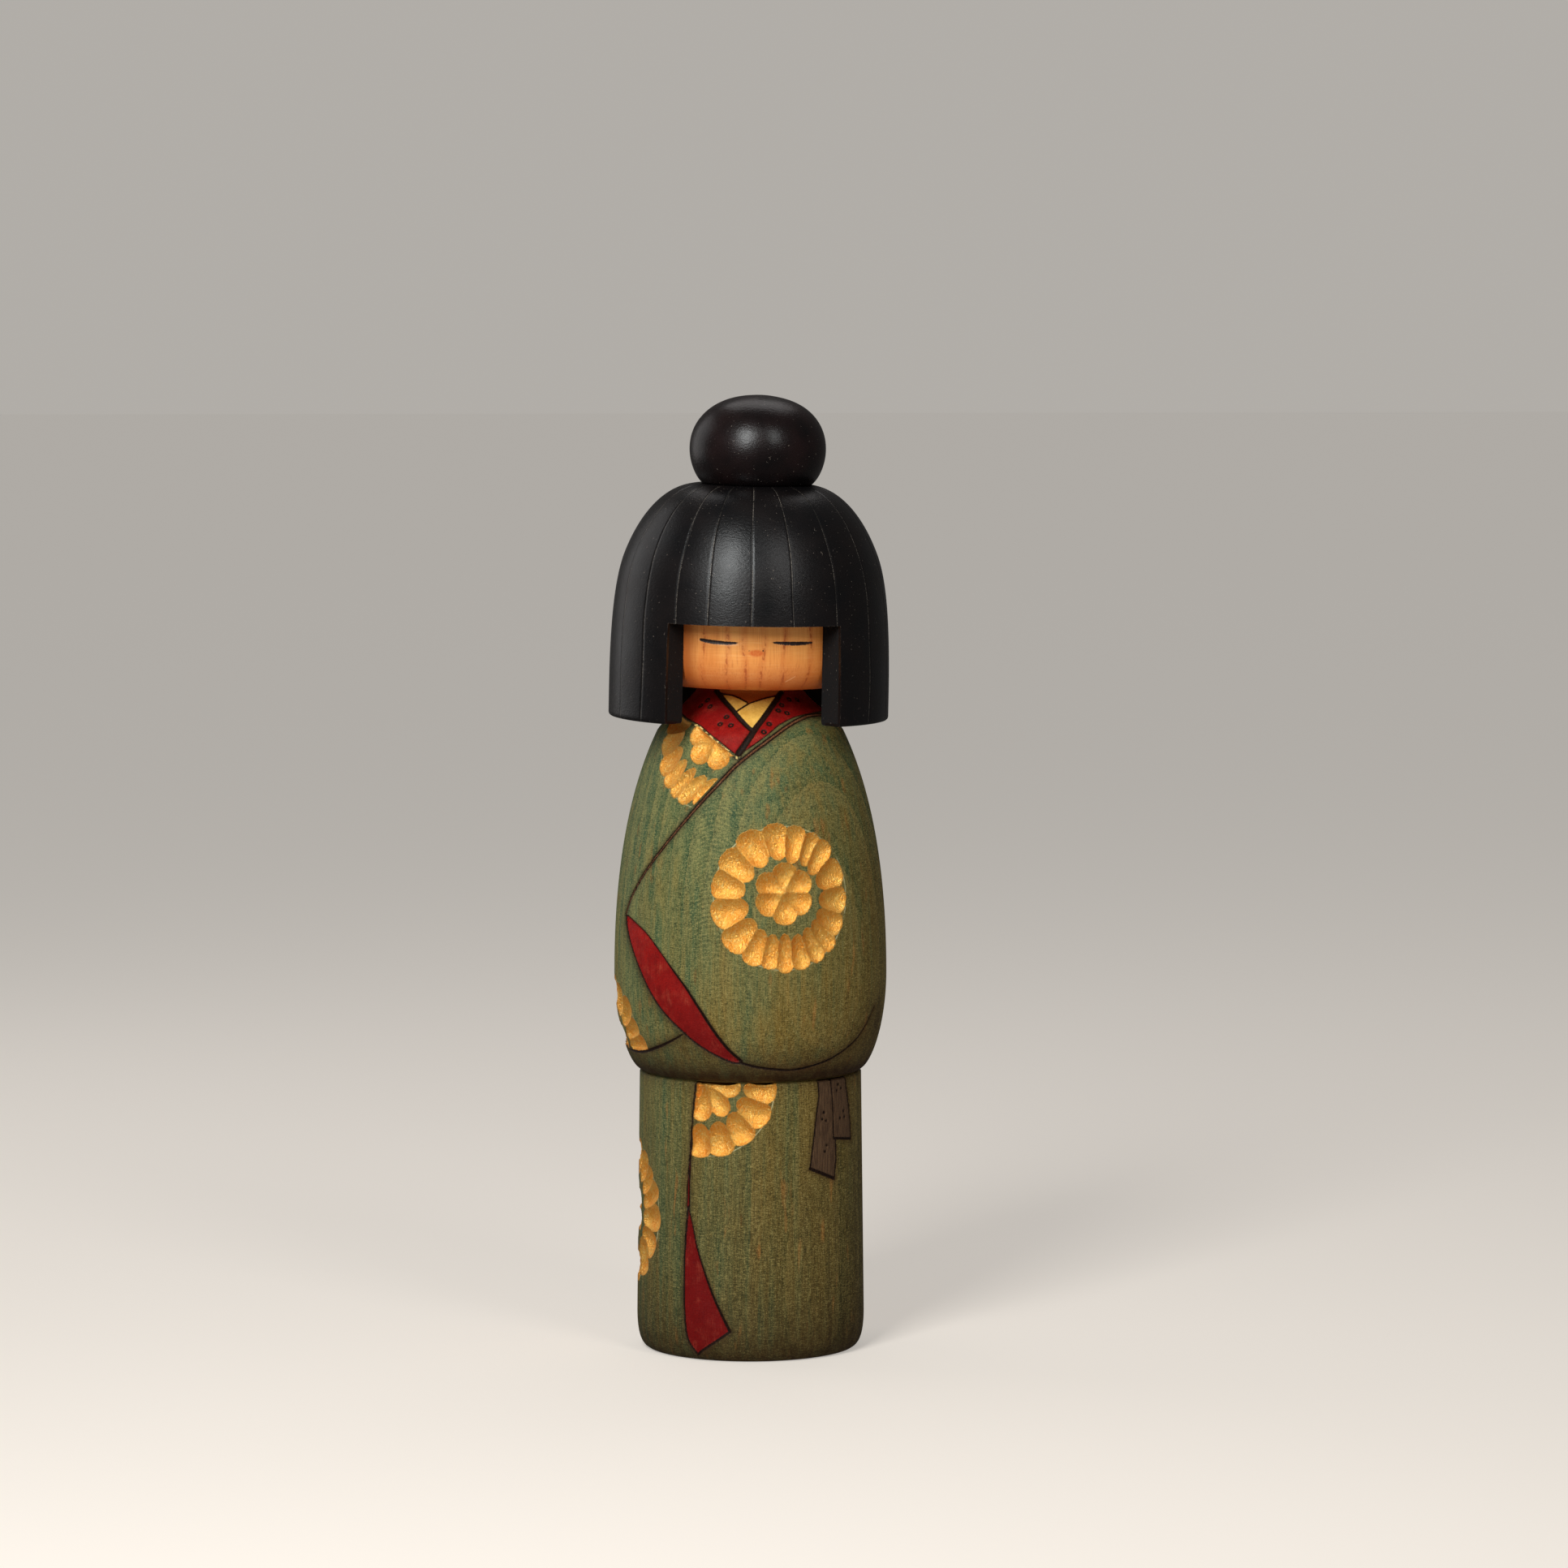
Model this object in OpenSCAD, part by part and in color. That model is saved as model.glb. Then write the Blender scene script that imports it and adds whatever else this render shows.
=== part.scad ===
// Turned wooden kokeshi doll with a carved kimono, a bobbed hair cap and a topknot.
// The foot stands on the XY plane, +Z is up and the face looks along -Y.

/* [Body block] */
// Radius of the flat that the doll stands on
foot_r = 25.4; // [23:0.2:26]
// Radius of the skirt just above the rounded foot edge
skirt_r = 28.65; // [27:0.05:29.5]
// Radius of the skirt where it goes up under the kimono hem
skirt_top_r = 27.9; // [26.5:0.1:28]
// Height of the kimono hem above the floor
hem_z = 71; // [62:0.5:76]
// Radius of the kimono at its widest
kimono_r = 34.25; // [32:0.25:38]
// Height of the kimono's widest place above the floor
widest_z = 95; // [90:1:102]
// Radius where the shoulder turns in to the collar
shoulder_r = 23.4; // [21:0.2:25]
// Height of that place above the floor
shoulder_z = 155.9; // [153:0.1:157]
// Radius of the neck's flat top
neck_r = 12.7; // [11:0.1:14]
// Height of the neck's flat top above the floor
neck_z = 167.3; // [165:0.1:169]

/* [Head] */
// Sideways lean of the head and its dowel, in degrees towards +X
head_lean = 1.1; // [0:0.1:2]
// Height above the floor where the head's axis crosses the body's axis
lean_z = 185; // [170:1:200]
// Free height between the neck's top and the underside of the head
head_gap = 0.3; // [0.2:0.1:1]
// Radius of the turned block that carries the face
face_r = 27.9; // [26:0.1:28.5]
// Height of the face block
face_h = 28; // [26:0.5:30]
// Radius of the flat under the chin
chin_flat_r = 20.5; // [18:0.5:22]
// Height over which the chin edge is rounded
chin_round_h = 8; // [4:0.5:10]

/* [Hair cap] */
// Outside radius of the cap at its rim
cap_r = 35.1; // [34:0.1:38]
// Height of the cap's rim above the floor
cap_rim_z = 159.3; // [158:0.1:161]
// Height of the cap from its rim to the seat of the topknot
cap_h = 58.4; // [57:0.2:62]
// Radius of the flat seat that the topknot is glued on
seat_r = 14.8; // [14.8:0.2:16]
// Clearance around the face block, filled with glue
glue_gap = 0.1; // [0.05:0.05:0.3]
// Angle of the opening cut out of the cap for the face
opening_angle = 76; // [60:2:90]
// Height of the opening, from the rim to the edge of the fringe
opening_h = 25; // [22:0.5:28]
// Rounding of the cap's rim
rim_round = 0.8; // [0.4:0.1:1.5]

/* [Topknot] */
// Radius of the topknot at its widest
knot_r = 17.15; // [16:0.05:19]
// Radius of the topknot's flat underside
knot_seat_r = 13.6; // [12:0.2:13.6]
// Height of the topknot
knot_h = 22.3; // [20:0.1:25]
// Radius of the small flat left on top of the topknot
knot_top_r = 4; // [2:0.5:5]
// Sideways shift of the topknot on the cap, towards +X
knot_shift = 1.1; // [0:0.1:1.2]

/* [Dowels] */
// Radius of the dowel that joins the head to the neck
neck_dowel_r = 5; // [4:0.5:6]
// Running clearance around that dowel in the neck, where the head turns
neck_dowel_gap = 0.05; // [0.03:0.01:0.1]
// Length of that dowel in the head
neck_dowel_up = 16; // [12:1:20]
// Length of that dowel in the neck
neck_dowel_down = 20; // [15:1:25]
// Radius of the dowel that joins the topknot to the cap
knot_dowel_r = 3; // [2:0.5:4]
// Length of that dowel in the cap
knot_dowel_down = 10; // [8:1:12]
// Length of that dowel in the topknot
knot_dowel_up = 11; // [8:1:14]

/* [Hidden] */
$fn = 96;

// Straight pieces in each curved stretch of an outline
steps = 10;
// Overlap that lets a cut break through a face
cut = 1;
// Depth of the turned groove under the hem
hem_groove = 0.6;
// Free length under the neck dowel's end
bore_spare = 1;

// Heights of the head's faces
chin_z = neck_z + head_gap;
face_top_z = chin_z + face_h;
seat_z = cap_rim_z + cap_h;
cap_bore_r = face_r + glue_gap;

// Points that the outlines pass through, as [radius, height]
foot_edge = [foot_r, 0];
skirt_foot = [skirt_r, 9];
hem_edge = [skirt_top_r + 0.4, hem_z];
widest = [kimono_r, widest_z];
shoulder = [shoulder_r, shoulder_z];
neck_edge = [neck_r, neck_z];
chin_edge = [chin_flat_r, chin_z];
cheek = [face_r, chin_z + chin_round_h];
cap_side = [cap_r, cap_rim_z + cap_h * 0.1];
cap_brow = [cap_r * 0.898, cap_rim_z + cap_h * 0.709];
cap_seat = [seat_r, seat_z];
knot_under = [knot_seat_r, seat_z];
knot_middle = [knot_r, seat_z + knot_h * 0.4];
knot_crown = [knot_top_r, seat_z + knot_h];

// Leads that bend the curves between those points
foot_lead = [2.2, 0];
skirt_lead = [0, -6];
hem_lead = [2.6, 1.7];
belly_lead = [0, -12.5];
back_lead = [0, 25.5];
shoulder_lead = [7.2, -15.1];
collar_lead = [-1, 2.1];
neck_lead = [3.2, -4.9];
side_lead = [0, 16];
brow_lead = [2.8, -7];
crown_lead = [-1.7, 4.4];
seat_lead = [9.9, -1.2];
knot_under_lead = [1.9, 1.6];
knot_low_lead = [0, -4];
knot_high_lead = [0, 5.2];
knot_crown_lead = [8.6, -0.7];

// Points of a cubic curve from a to d, which leaves a along b and reaches d along c.
// The point a itself is left out, so that curves can follow one another.
function curve(a, b, c, d) = [
    for (i = [1:steps])
        let (t = i / steps, s = 1 - t)
            s * s * s * a + 3 * s * s * t * (a + b) + 3 * s * t * t * (d + c) + t * t * t * d
];

// Points of a quarter round from a to d, whose square corner is at c.
function quarter(a, c, d) = curve(a, (c - a) / 2, (c - d) / 2, d);

// Turns an outline about the Z axis.
module turned(outline) {
    rotate_extrude() polygon(outline);
}

// Puts the head, its pieces and its dowel on their leaning axis.
module on_head_axis() {
    translate([0, 0, lean_z])
        rotate([0, head_lean, 0])
            translate([0, 0, -lean_z])
                children();
}

// One turned block: rounded foot, straight skirt, overhanging kimono, collar and neck.
module body() {
    outline = concat(
        [[0, 0], foot_edge],
        curve(foot_edge, foot_lead, skirt_lead, skirt_foot),
        [
            [skirt_top_r, hem_z - 2 * hem_groove],
            [skirt_top_r - hem_groove, hem_z - hem_groove],
            hem_edge
        ],
        curve(hem_edge, hem_lead, belly_lead, widest),
        curve(widest, back_lead, shoulder_lead, shoulder),
        curve(shoulder, collar_lead, neck_lead, neck_edge),
        [[neck_r - cut / 2, neck_z + cut], [0, neck_z + cut]]
    );
    color([0.27, 0.38, 0.29])
        difference() {
            turned(outline);
            on_head_axis() {
                translate([0, 0, neck_z])
                    cylinder(r = neck_r * 2, h = cut * 2);
                translate([0, 0, neck_z - neck_dowel_down - bore_spare])
                    cylinder(
                        r = neck_dowel_r + neck_dowel_gap,
                        h = neck_dowel_down + bore_spare + cut
                    );
            }
        }
}

// Dowel that is glued in the head and turns in the neck.
module neck_dowel() {
    color([0.80, 0.66, 0.45])
        on_head_axis()
            translate([0, 0, neck_z - neck_dowel_down])
                cylinder(r = neck_dowel_r, h = neck_dowel_down + head_gap + neck_dowel_up);
}

// Solid turned block that fills the cap and shows as the face.
module head_core() {
    outline = concat(
        [[0, chin_z], chin_edge],
        curve(
            chin_edge,
            [(face_r - chin_flat_r) * 0.6, 0],
            [0, -chin_round_h * 0.6],
            cheek
        ),
        [[face_r, face_top_z], [0, face_top_z]]
    );
    color([0.79, 0.50, 0.25])
        on_head_axis()
            difference() {
                turned(outline);
                translate([0, 0, chin_z - cut])
                    cylinder(r = neck_dowel_r, h = neck_dowel_up + cut);
            }
}

// Wedge in front of the Z axis that opens the cap for the face.
module face_opening() {
    reach = cap_r * 2;
    half = opening_angle / 2;
    translate([0, 0, cap_rim_z - cut])
        linear_extrude(height = opening_h + cut)
            polygon([
                [0, 0],
                [-reach * sin(half), -reach * cos(half)],
                [reach * sin(half), -reach * cos(half)]
            ]);
}

// Hollow turned cap of bobbed hair, open in front of the face.
module hair_cap() {
    bore_foot = [cap_bore_r, cap_rim_z + rim_round];
    rim_in = [cap_bore_r + rim_round, cap_rim_z];
    rim_out = [cap_r - rim_round, cap_rim_z];
    side_foot = [cap_r, cap_rim_z + rim_round];
    outline = concat(
        [bore_foot],
        quarter(bore_foot, [cap_bore_r, cap_rim_z], rim_in),
        [rim_out],
        quarter(rim_out, [cap_r, cap_rim_z], side_foot),
        [cap_side],
        curve(cap_side, side_lead, brow_lead, cap_brow),
        curve(cap_brow, crown_lead, seat_lead, cap_seat),
        [[0, seat_z], [0, face_top_z], [cap_bore_r, face_top_z]]
    );
    color([0.09, 0.08, 0.08])
        on_head_axis()
            difference() {
                turned(outline);
                face_opening();
                translate([knot_shift, 0, seat_z - knot_dowel_down])
                    cylinder(r = knot_dowel_r, h = knot_dowel_down + cut);
            }
}

// Bun of hair turned from one block.
module topknot() {
    outline = concat(
        [[0, seat_z], knot_under],
        curve(knot_under, knot_under_lead, knot_low_lead, knot_middle),
        curve(knot_middle, knot_high_lead, knot_crown_lead, knot_crown),
        [[0, seat_z + knot_h]]
    );
    color([0.10, 0.07, 0.06])
        on_head_axis()
            translate([knot_shift, 0, 0])
                difference() {
                    turned(outline);
                    translate([0, 0, seat_z - cut])
                        cylinder(r = knot_dowel_r, h = knot_dowel_up + cut);
                }
}

// Small dowel that is glued in the cap and in the topknot.
module topknot_dowel() {
    color([0.80, 0.66, 0.45])
        on_head_axis()
            translate([knot_shift, 0, seat_z - knot_dowel_down])
                cylinder(r = knot_dowel_r, h = knot_dowel_down + knot_dowel_up);
}

body();
neck_dowel();
head_core();
hair_cap();
topknot();
topknot_dowel();
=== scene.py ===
"""Kokeshi doll: the turned, carved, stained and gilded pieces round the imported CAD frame.

Lengths are in millimetres until a mesh is made. A place on a turned surface is given as
its bearing in degrees, from the front (-Y) towards +X, and its height above the floor.
"""

import math

import bpy
import numpy as np
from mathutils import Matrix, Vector


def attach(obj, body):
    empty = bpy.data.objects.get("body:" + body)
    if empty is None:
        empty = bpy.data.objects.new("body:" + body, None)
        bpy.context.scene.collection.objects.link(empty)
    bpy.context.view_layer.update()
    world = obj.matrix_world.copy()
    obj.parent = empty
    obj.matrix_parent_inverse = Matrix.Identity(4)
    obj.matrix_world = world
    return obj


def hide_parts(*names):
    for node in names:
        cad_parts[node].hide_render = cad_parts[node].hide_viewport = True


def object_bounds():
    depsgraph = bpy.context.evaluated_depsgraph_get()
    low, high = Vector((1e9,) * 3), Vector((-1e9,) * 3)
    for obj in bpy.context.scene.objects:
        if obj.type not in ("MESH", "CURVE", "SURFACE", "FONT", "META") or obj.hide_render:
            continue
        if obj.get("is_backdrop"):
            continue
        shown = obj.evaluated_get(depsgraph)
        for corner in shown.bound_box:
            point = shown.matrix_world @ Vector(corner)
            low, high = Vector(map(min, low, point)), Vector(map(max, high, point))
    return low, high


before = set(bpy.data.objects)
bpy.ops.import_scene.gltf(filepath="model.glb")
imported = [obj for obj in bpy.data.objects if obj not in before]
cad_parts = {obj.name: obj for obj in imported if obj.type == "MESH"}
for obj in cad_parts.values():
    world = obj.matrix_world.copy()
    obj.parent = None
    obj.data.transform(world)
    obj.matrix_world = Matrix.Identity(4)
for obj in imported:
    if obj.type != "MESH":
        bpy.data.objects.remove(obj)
cad_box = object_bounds()

MM = 0.001

# The head and all that is on it lean towards +X about this height.
HEAD_LEAN = 1.1
LEAN_Z = 185.0

# A cell of a turned surface that carries detail is split into this many cells each way.
SPLIT = 3
# Value of a painted field where nothing is near, in millimetres.
FAR = 9.0

# Growth rings of the body's wood: bearing they face, depth of one edge and step between edges.
GRAIN_WAY = 33.7
GRAIN_EDGE = 27.55
GRAIN_STEP = 4.6
# Bearing of the wavy marks beside the front flower, in radians.
ARC_WAY = math.radians(-19)
# Height of the hem's lowest edge: the brown band on the kimono's underside stops above it, and the
# painted shadow on the skirt stops below it.
HEM_EDGE = 70.6
# Radii of the dowels' bores: in the body, in the face block, and in the cap and the bun.
BODY_BORE = 5.05
FACE_BORE = 5.02
PEG_BORE = 3.02


# ---------------------------------------------------------------- outlines

def cubic(start, lead_out, lead_in, end, steps=24):
    """Points of a cubic curve from start to end, with its handles given from each of them."""
    a, d = np.array(start, float), np.array(end, float)
    b, c = a + lead_out, d + lead_in
    t = np.linspace(0, 1, steps + 1)[:, None]
    s = 1 - t
    return s**3 * a + 3 * s * s * t * b + 3 * s * t * t * c + t**3 * d


def joined(*stretches):
    """One smooth stretch out of several that meet end to end."""
    parts = [np.array(stretches[0], float)]
    parts += [np.array(s, float)[1:] for s in stretches[1:]]
    return np.vstack(parts)


class Outline:
    """An outline resampled into rows: arc length, radius, height and normal of each fine row.

    Stretches are smooth and meet at corners, and a row falls on every corner and mark."""

    def __init__(self, stretches, cell, marks=()):
        places, normals, lengths = [], [], []
        start = 0.0
        for stretch in stretches:
            points = np.array(stretch, float)
            arc = np.concatenate([[0], np.cumsum(np.hypot(*np.diff(points, axis=0).T))])
            stops = [0.0] + [
                float(np.interp(z, points[:, 1], arc))
                for z in marks
                if points[0, 1] < z < points[-1, 1]
            ] + [arc[-1]]
            fine = [np.array([0.0])]
            for low, high in zip(stops, stops[1:]):
                count = SPLIT * max(1, round((high - low) / cell))
                fine.append(np.linspace(low, high, count + 1)[1:])
            at = np.concatenate(fine)
            row = np.column_stack([np.interp(at, arc, points[:, k]) for k in (0, 1)])
            along = np.gradient(row, at, axis=0)
            along /= np.hypot(*along.T)[:, None]
            places.append(row)
            normals.append(np.column_stack([along[:, 1], -along[:, 0]]))
            lengths.append(at + start)
            start += arc[-1]
        for k in range(1, len(places)):
            corner = normals[k - 1][-1] + normals[k][0]
            normals[k - 1][-1] = corner / np.hypot(*corner)
            places[k], normals[k], lengths[k] = places[k][1:], normals[k][1:], lengths[k][1:]
        self.place = np.vstack(places)
        self.normal = np.vstack(normals)
        self.length = np.concatenate(lengths)

    def at_height(self, z):
        """Arc length at a height."""
        return np.interp(z, self.place[:, 1], self.length)

    def radius(self, z):
        """Radius at a height."""
        return np.interp(z, self.place[:, 1], self.place[:, 0])


# ---------------------------------------------------------------- meshes

class Shell:
    """Points, faces and painted fields of one piece while it is built."""

    def __init__(self, points, faces, fields):
        self.points = [np.array(points, float)]
        self.count = len(points)
        self.faces = list(faces)
        self.fields = {name: [np.array(v, float)] for name, v in fields.items()}

    def add(self, points, **fields):
        """Indices of new points. Fields that aren't given keep their far value."""
        points = np.array(points, float).reshape(-1, 3)
        self.points.append(points)
        for name, parts in self.fields.items():
            parts.append(np.full(len(points), float(fields.get(name, FAR))))
        first = self.count
        self.count += len(points)
        return np.arange(first, self.count)

    def band(self, low, high, closed=True):
        """Faces between two rows of points. They face outwards where high is above low."""
        a, b = (low, np.roll(low, -1)) if closed else (low[:-1], low[1:])
        c, d = (np.roll(high, -1), high) if closed else (high[1:], high[:-1])
        self.faces += np.column_stack([a, b, c, d]).tolist()

    def quads(self, low, high, cells):
        """Faces between two rows of points at the marked cells only."""
        k = np.nonzero(cells)[0]
        right = (k + 1) % len(cells)
        self.faces += np.column_stack([low[k], low[right], high[right], high[k]]).tolist()

    def lid(self, ring, up=True):
        """One flat face that closes a ring."""
        self.faces.append([int(i) for i in (ring if up else ring[::-1])])

    def mesh(self, name, sharp=50):
        """The piece as a smooth-shaded object with its fields as point attributes."""
        mesh = bpy.data.meshes.new(name)
        points = np.vstack(self.points) * MM
        mesh.from_pydata(points.tolist(), [], self.faces)
        for field, parts in self.fields.items():
            attribute = mesh.attributes.new(field, "FLOAT", "POINT")
            attribute.data.foreach_set("value", np.concatenate(parts).astype(np.float32))
        mesh.polygons.foreach_set("use_smooth", [True] * len(mesh.polygons))
        mesh.set_sharp_from_angle(angle=math.radians(sharp))
        mesh.update()
        made = bpy.data.objects.new(name, mesh)
        bpy.context.collection.objects.link(made)
        return made


def lattice(split):
    """Vertices and faces of a lattice that closes round its columns.

    split[i, j] marks the cells that are cut SPLIT by SPLIT. Vertices are fine grid places."""
    columns, rows = split.shape
    wide = columns * SPLIT
    used = np.zeros((wide, rows * SPLIT + 1), bool)
    used[::SPLIT, ::SPLIT] = True
    ci, cj = np.nonzero(split)
    for a in range(SPLIT + 1):
        for b in range(SPLIT + 1):
            used[(ci * SPLIT + a) % wide, cj * SPLIT + b] = True
    index = np.full(used.shape, -1)
    place = np.nonzero(used)
    index[place] = np.arange(len(place[0]))
    faces = []
    for a in range(SPLIT):
        for b in range(SPLIT):
            i, j = ci * SPLIT + a, cj * SPLIT + b
            right = (i + 1) % wide
            faces += np.column_stack(
                [index[i, j], index[right, j], index[right, j + 1], index[i, j + 1]]
            ).tolist()
    ci, cj = np.nonzero(~split)
    i, j = ci * SPLIT, cj * SPLIT
    right = (i + SPLIT) % wide
    mids = (
        used[i + 1, j]
        | used[i + 1, j + SPLIT]
        | used[i, j + 1]
        | used[right, j + 1]
    )
    k = ~mids
    faces += np.column_stack([
        index[i[k], j[k]],
        index[right[k], j[k]],
        index[right[k], j[k] + SPLIT],
        index[i[k], j[k] + SPLIT],
    ]).tolist()
    for i, j in zip(i[mids], j[mids]):
        up = range(SPLIT)
        loop = [(i + s, j) for s in up] + [(i + SPLIT, j + s) for s in up]
        loop += [(i + SPLIT - s, j + SPLIT) for s in up] + [(i, j + SPLIT - s) for s in up]
        ring = [index[a % wide, b] for a, b in loop]
        faces.append([int(v) for v in ring if v >= 0])
    return place, faces, index


def around(bearing, radius, height):
    """Points at bearings in radians round the Z axis."""
    return np.column_stack([
        radius * np.sin(bearing), -radius * np.cos(bearing), height + 0 * bearing
    ])


class Spot:
    """Places on a turned surface: bearing in radians, arc length, radius and height."""

    def __init__(self, bearing, length, radius, height):
        self.bearing = (bearing + math.pi) % (2 * math.pi) - math.pi
        self.length = length
        self.radius = radius
        self.height = height

    def beside(self, degrees):
        """Length round the surface from a bearing, signed."""
        turn = self.bearing - math.radians(degrees)
        return self.radius * ((turn + math.pi) % (2 * math.pi) - math.pi)


def turned(outline, columns, carve, reach):
    """Shell of a turned surface with what carve(spot) cuts and paints, fine where it needs to be.

    Also returns its lowest and highest ring of vertex indices and their bearings."""
    fine_rows = len(outline.length)
    mid = np.arange(SPLIT // 2, fine_rows - 1, SPLIT)
    turn = (np.arange(columns) + 0.5) * 2 * math.pi / columns
    bearing, row = [g.ravel() for g in np.meshgrid(turn, mid, indexing="ij")]
    coarse = Spot(bearing, outline.length[row], *outline.place[row].T)
    detail = carve(coarse)["detail"].reshape(columns, len(mid))
    split = detail < reach
    split[:, 0] = split[:, -1] = False
    (i, j), faces, index = lattice(split)
    bearing = i * 2 * math.pi / (columns * SPLIT)
    spot = Spot(bearing, outline.length[j], *outline.place[j].T)
    fields = carve(spot)
    sink = fields.pop("sink")
    fields.pop("detail")
    radius = spot.radius - sink * outline.normal[j, 0]
    height = spot.height - sink * outline.normal[j, 1]
    shell = Shell(around(bearing, radius, height), faces, fields)
    rings = index[::SPLIT, 0], index[::SPLIT, -1]
    return shell, rings, np.arange(columns) * 2 * math.pi / columns


def on_head(points):
    """Points of the upright head moved to its leaning axis."""
    lean = math.radians(HEAD_LEAN)
    x, y, z = np.array(points, float).T
    z = z - LEAN_Z
    return np.column_stack([
        x * math.cos(lean) + z * math.sin(lean),
        y,
        z * math.cos(lean) - x * math.sin(lean) + LEAN_Z,
    ])


def bore(shell, ring, bearing, steps, centre=(0.0, 0.0), lean=None, up=True, **fields):
    """Rings of (radius, height) that go on from a ring, ended by a flat lid."""
    for radius, height in steps:
        points = around(bearing, radius, height) + [centre[0], centre[1], 0]
        if lean is not None:
            points = lean(points)
        new = shell.add(points, **fields)
        if up:
            shell.band(ring, new)
        else:
            shell.band(new, ring)
        ring = new
    shell.lid(ring, up)


# ---------------------------------------------------------------- distances on a surface

def smooth(points, steps=6):
    """A smooth line through a few points."""
    p = np.array(points, float)
    p = np.vstack([2 * p[0] - p[1], p, 2 * p[-1] - p[-2]])
    t = np.arange(steps)[:, None] / steps
    out = []
    for a, b, c, d in zip(p, p[1:], p[2:], p[3:]):
        out.append(0.5 * (
            2 * b + (c - a) * t + (2 * a - 5 * b + 4 * c - d) * t**2
            + (3 * b - a - 3 * c + d) * t**3
        ))
    return np.vstack(out + [p[-2]])


def along(line, outline, spot, reach=4.0):
    """Distance to a line of (bearing, height) points, and the share of the line passed there."""
    line = np.array(line, float)
    turn, length = np.radians(line[:, 0]), outline.at_height(line[:, 1])
    middle = (turn.min() + turn.max()) / 2
    side = (spot.bearing - middle + math.pi) % (2 * math.pi) - math.pi
    turn = turn - middle
    slack = reach / 12
    near = (side > turn.min() - slack) & (side < turn.max() + slack)
    near &= (spot.length > length.min() - reach) & (spot.length < length.max() + reach)
    best = np.full(spot.length.shape, 1e3)
    share = np.zeros(spot.length.shape)
    if not near.any():
        return best, share
    side, along_surface, radius = side[near], spot.length[near], spot.radius[near]
    low = np.full(side.shape, 1e3)
    where = np.zeros(side.shape)
    passed = np.concatenate([[0], np.cumsum(np.hypot(np.diff(turn) * 30, np.diff(length)))])
    for k in range(len(line) - 1):
        ax, ay = radius * (turn[k] - side), length[k] - along_surface
        bx, by = radius * (turn[k + 1] - side), length[k + 1] - along_surface
        dx, dy = bx - ax, by - ay
        t = np.clip(-(ax * dx + ay * dy) / (dx * dx + dy * dy + 1e-12), 0, 1)
        d = np.hypot(ax + t * dx, ay + t * dy)
        closer = d < low
        low = np.where(closer, d, low)
        where = np.where(closer, passed[k] + t * (passed[k + 1] - passed[k]), where)
    best[near] = low
    share[near] = where / passed[-1]
    return best, share


def inside(line, outline, spot):
    """Whether each spot is inside a closed line of (bearing, height) points."""
    line = np.array(line, float)
    turn, length = np.radians(line[:, 0]), outline.at_height(line[:, 1])
    middle = (turn.min() + turn.max()) / 2
    side = (spot.bearing - middle + math.pi) % (2 * math.pi) - math.pi
    turn = turn - middle
    odd = np.zeros(side.shape, bool)
    for k in range(len(line)):
        x0, y0, x1, y1 = turn[k - 1], length[k - 1], turn[k], length[k]
        spans = (y0 > spot.length) != (y1 > spot.length)
        if y0 != y1:
            odd ^= spans & (side < x0 + (spot.length - y0) * (x1 - x0) / (y1 - y0))
    return odd


def area(line, outline, spot, reach=4.0):
    """Signed distance to a closed line, below zero inside it."""
    closed = np.vstack([line, line[:1]])
    d = np.minimum(along(closed, outline, spot, reach)[0], FAR)
    return np.where(inside(line, outline, spot), -d, d)


def above(line, outline, spot, reach=4.0):
    """Signed distance to a line that runs round the surface, over zero above it."""
    line = np.array(line, float)
    edge = np.interp(np.degrees(spot.bearing), line[:, 0], outline.at_height(line[:, 1]))
    d = np.minimum(along(line, outline, spot, reach)[0], FAR)
    return np.where(spot.length > edge, d, -d)


def ease(value, low, high):
    """0 below low, 1 above high, and a smooth step between."""
    t = np.clip((value - low) / (high - low), 0, 1)
    return t * t * (3 - 2 * t)


# ---------------------------------------------------------------- carving

def blank(spot):
    """Fields of a surface on which nothing is carved or painted yet."""
    names = "gold crease dark red yellow skin sash core scribe worn fold".split()
    fields = {name: np.full(spot.length.shape, FAR) for name in names}
    fields["sink"] = np.zeros(spot.length.shape)
    return fields


def ready(fields):
    """Adds the distance to the nearest detail, which says where the mesh has to be fine."""
    fields["detail"] = np.minimum.reduce([
        fields["gold"], fields["dark"], np.abs(fields["red"]), fields["crease"],
    ])
    return fields


def nearer(fields, name, distance):
    """Brings a painted field down to a distance wherever that is less."""
    fields[name] = np.minimum(fields[name], distance)


def deepen(fields, depth):
    """Sinks the surface to a depth wherever that is deeper."""
    fields["sink"] = np.maximum(fields["sink"], depth)


def burn(fields, distance, half, depth):
    """A burnt line: a groove of that half width and depth, dark inside."""
    nearer(fields, "dark", distance - half)
    groove = depth * np.clip(1 - (distance / (half * 1.2)) ** 2, 0, 1)
    deepen(fields, groove)


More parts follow.
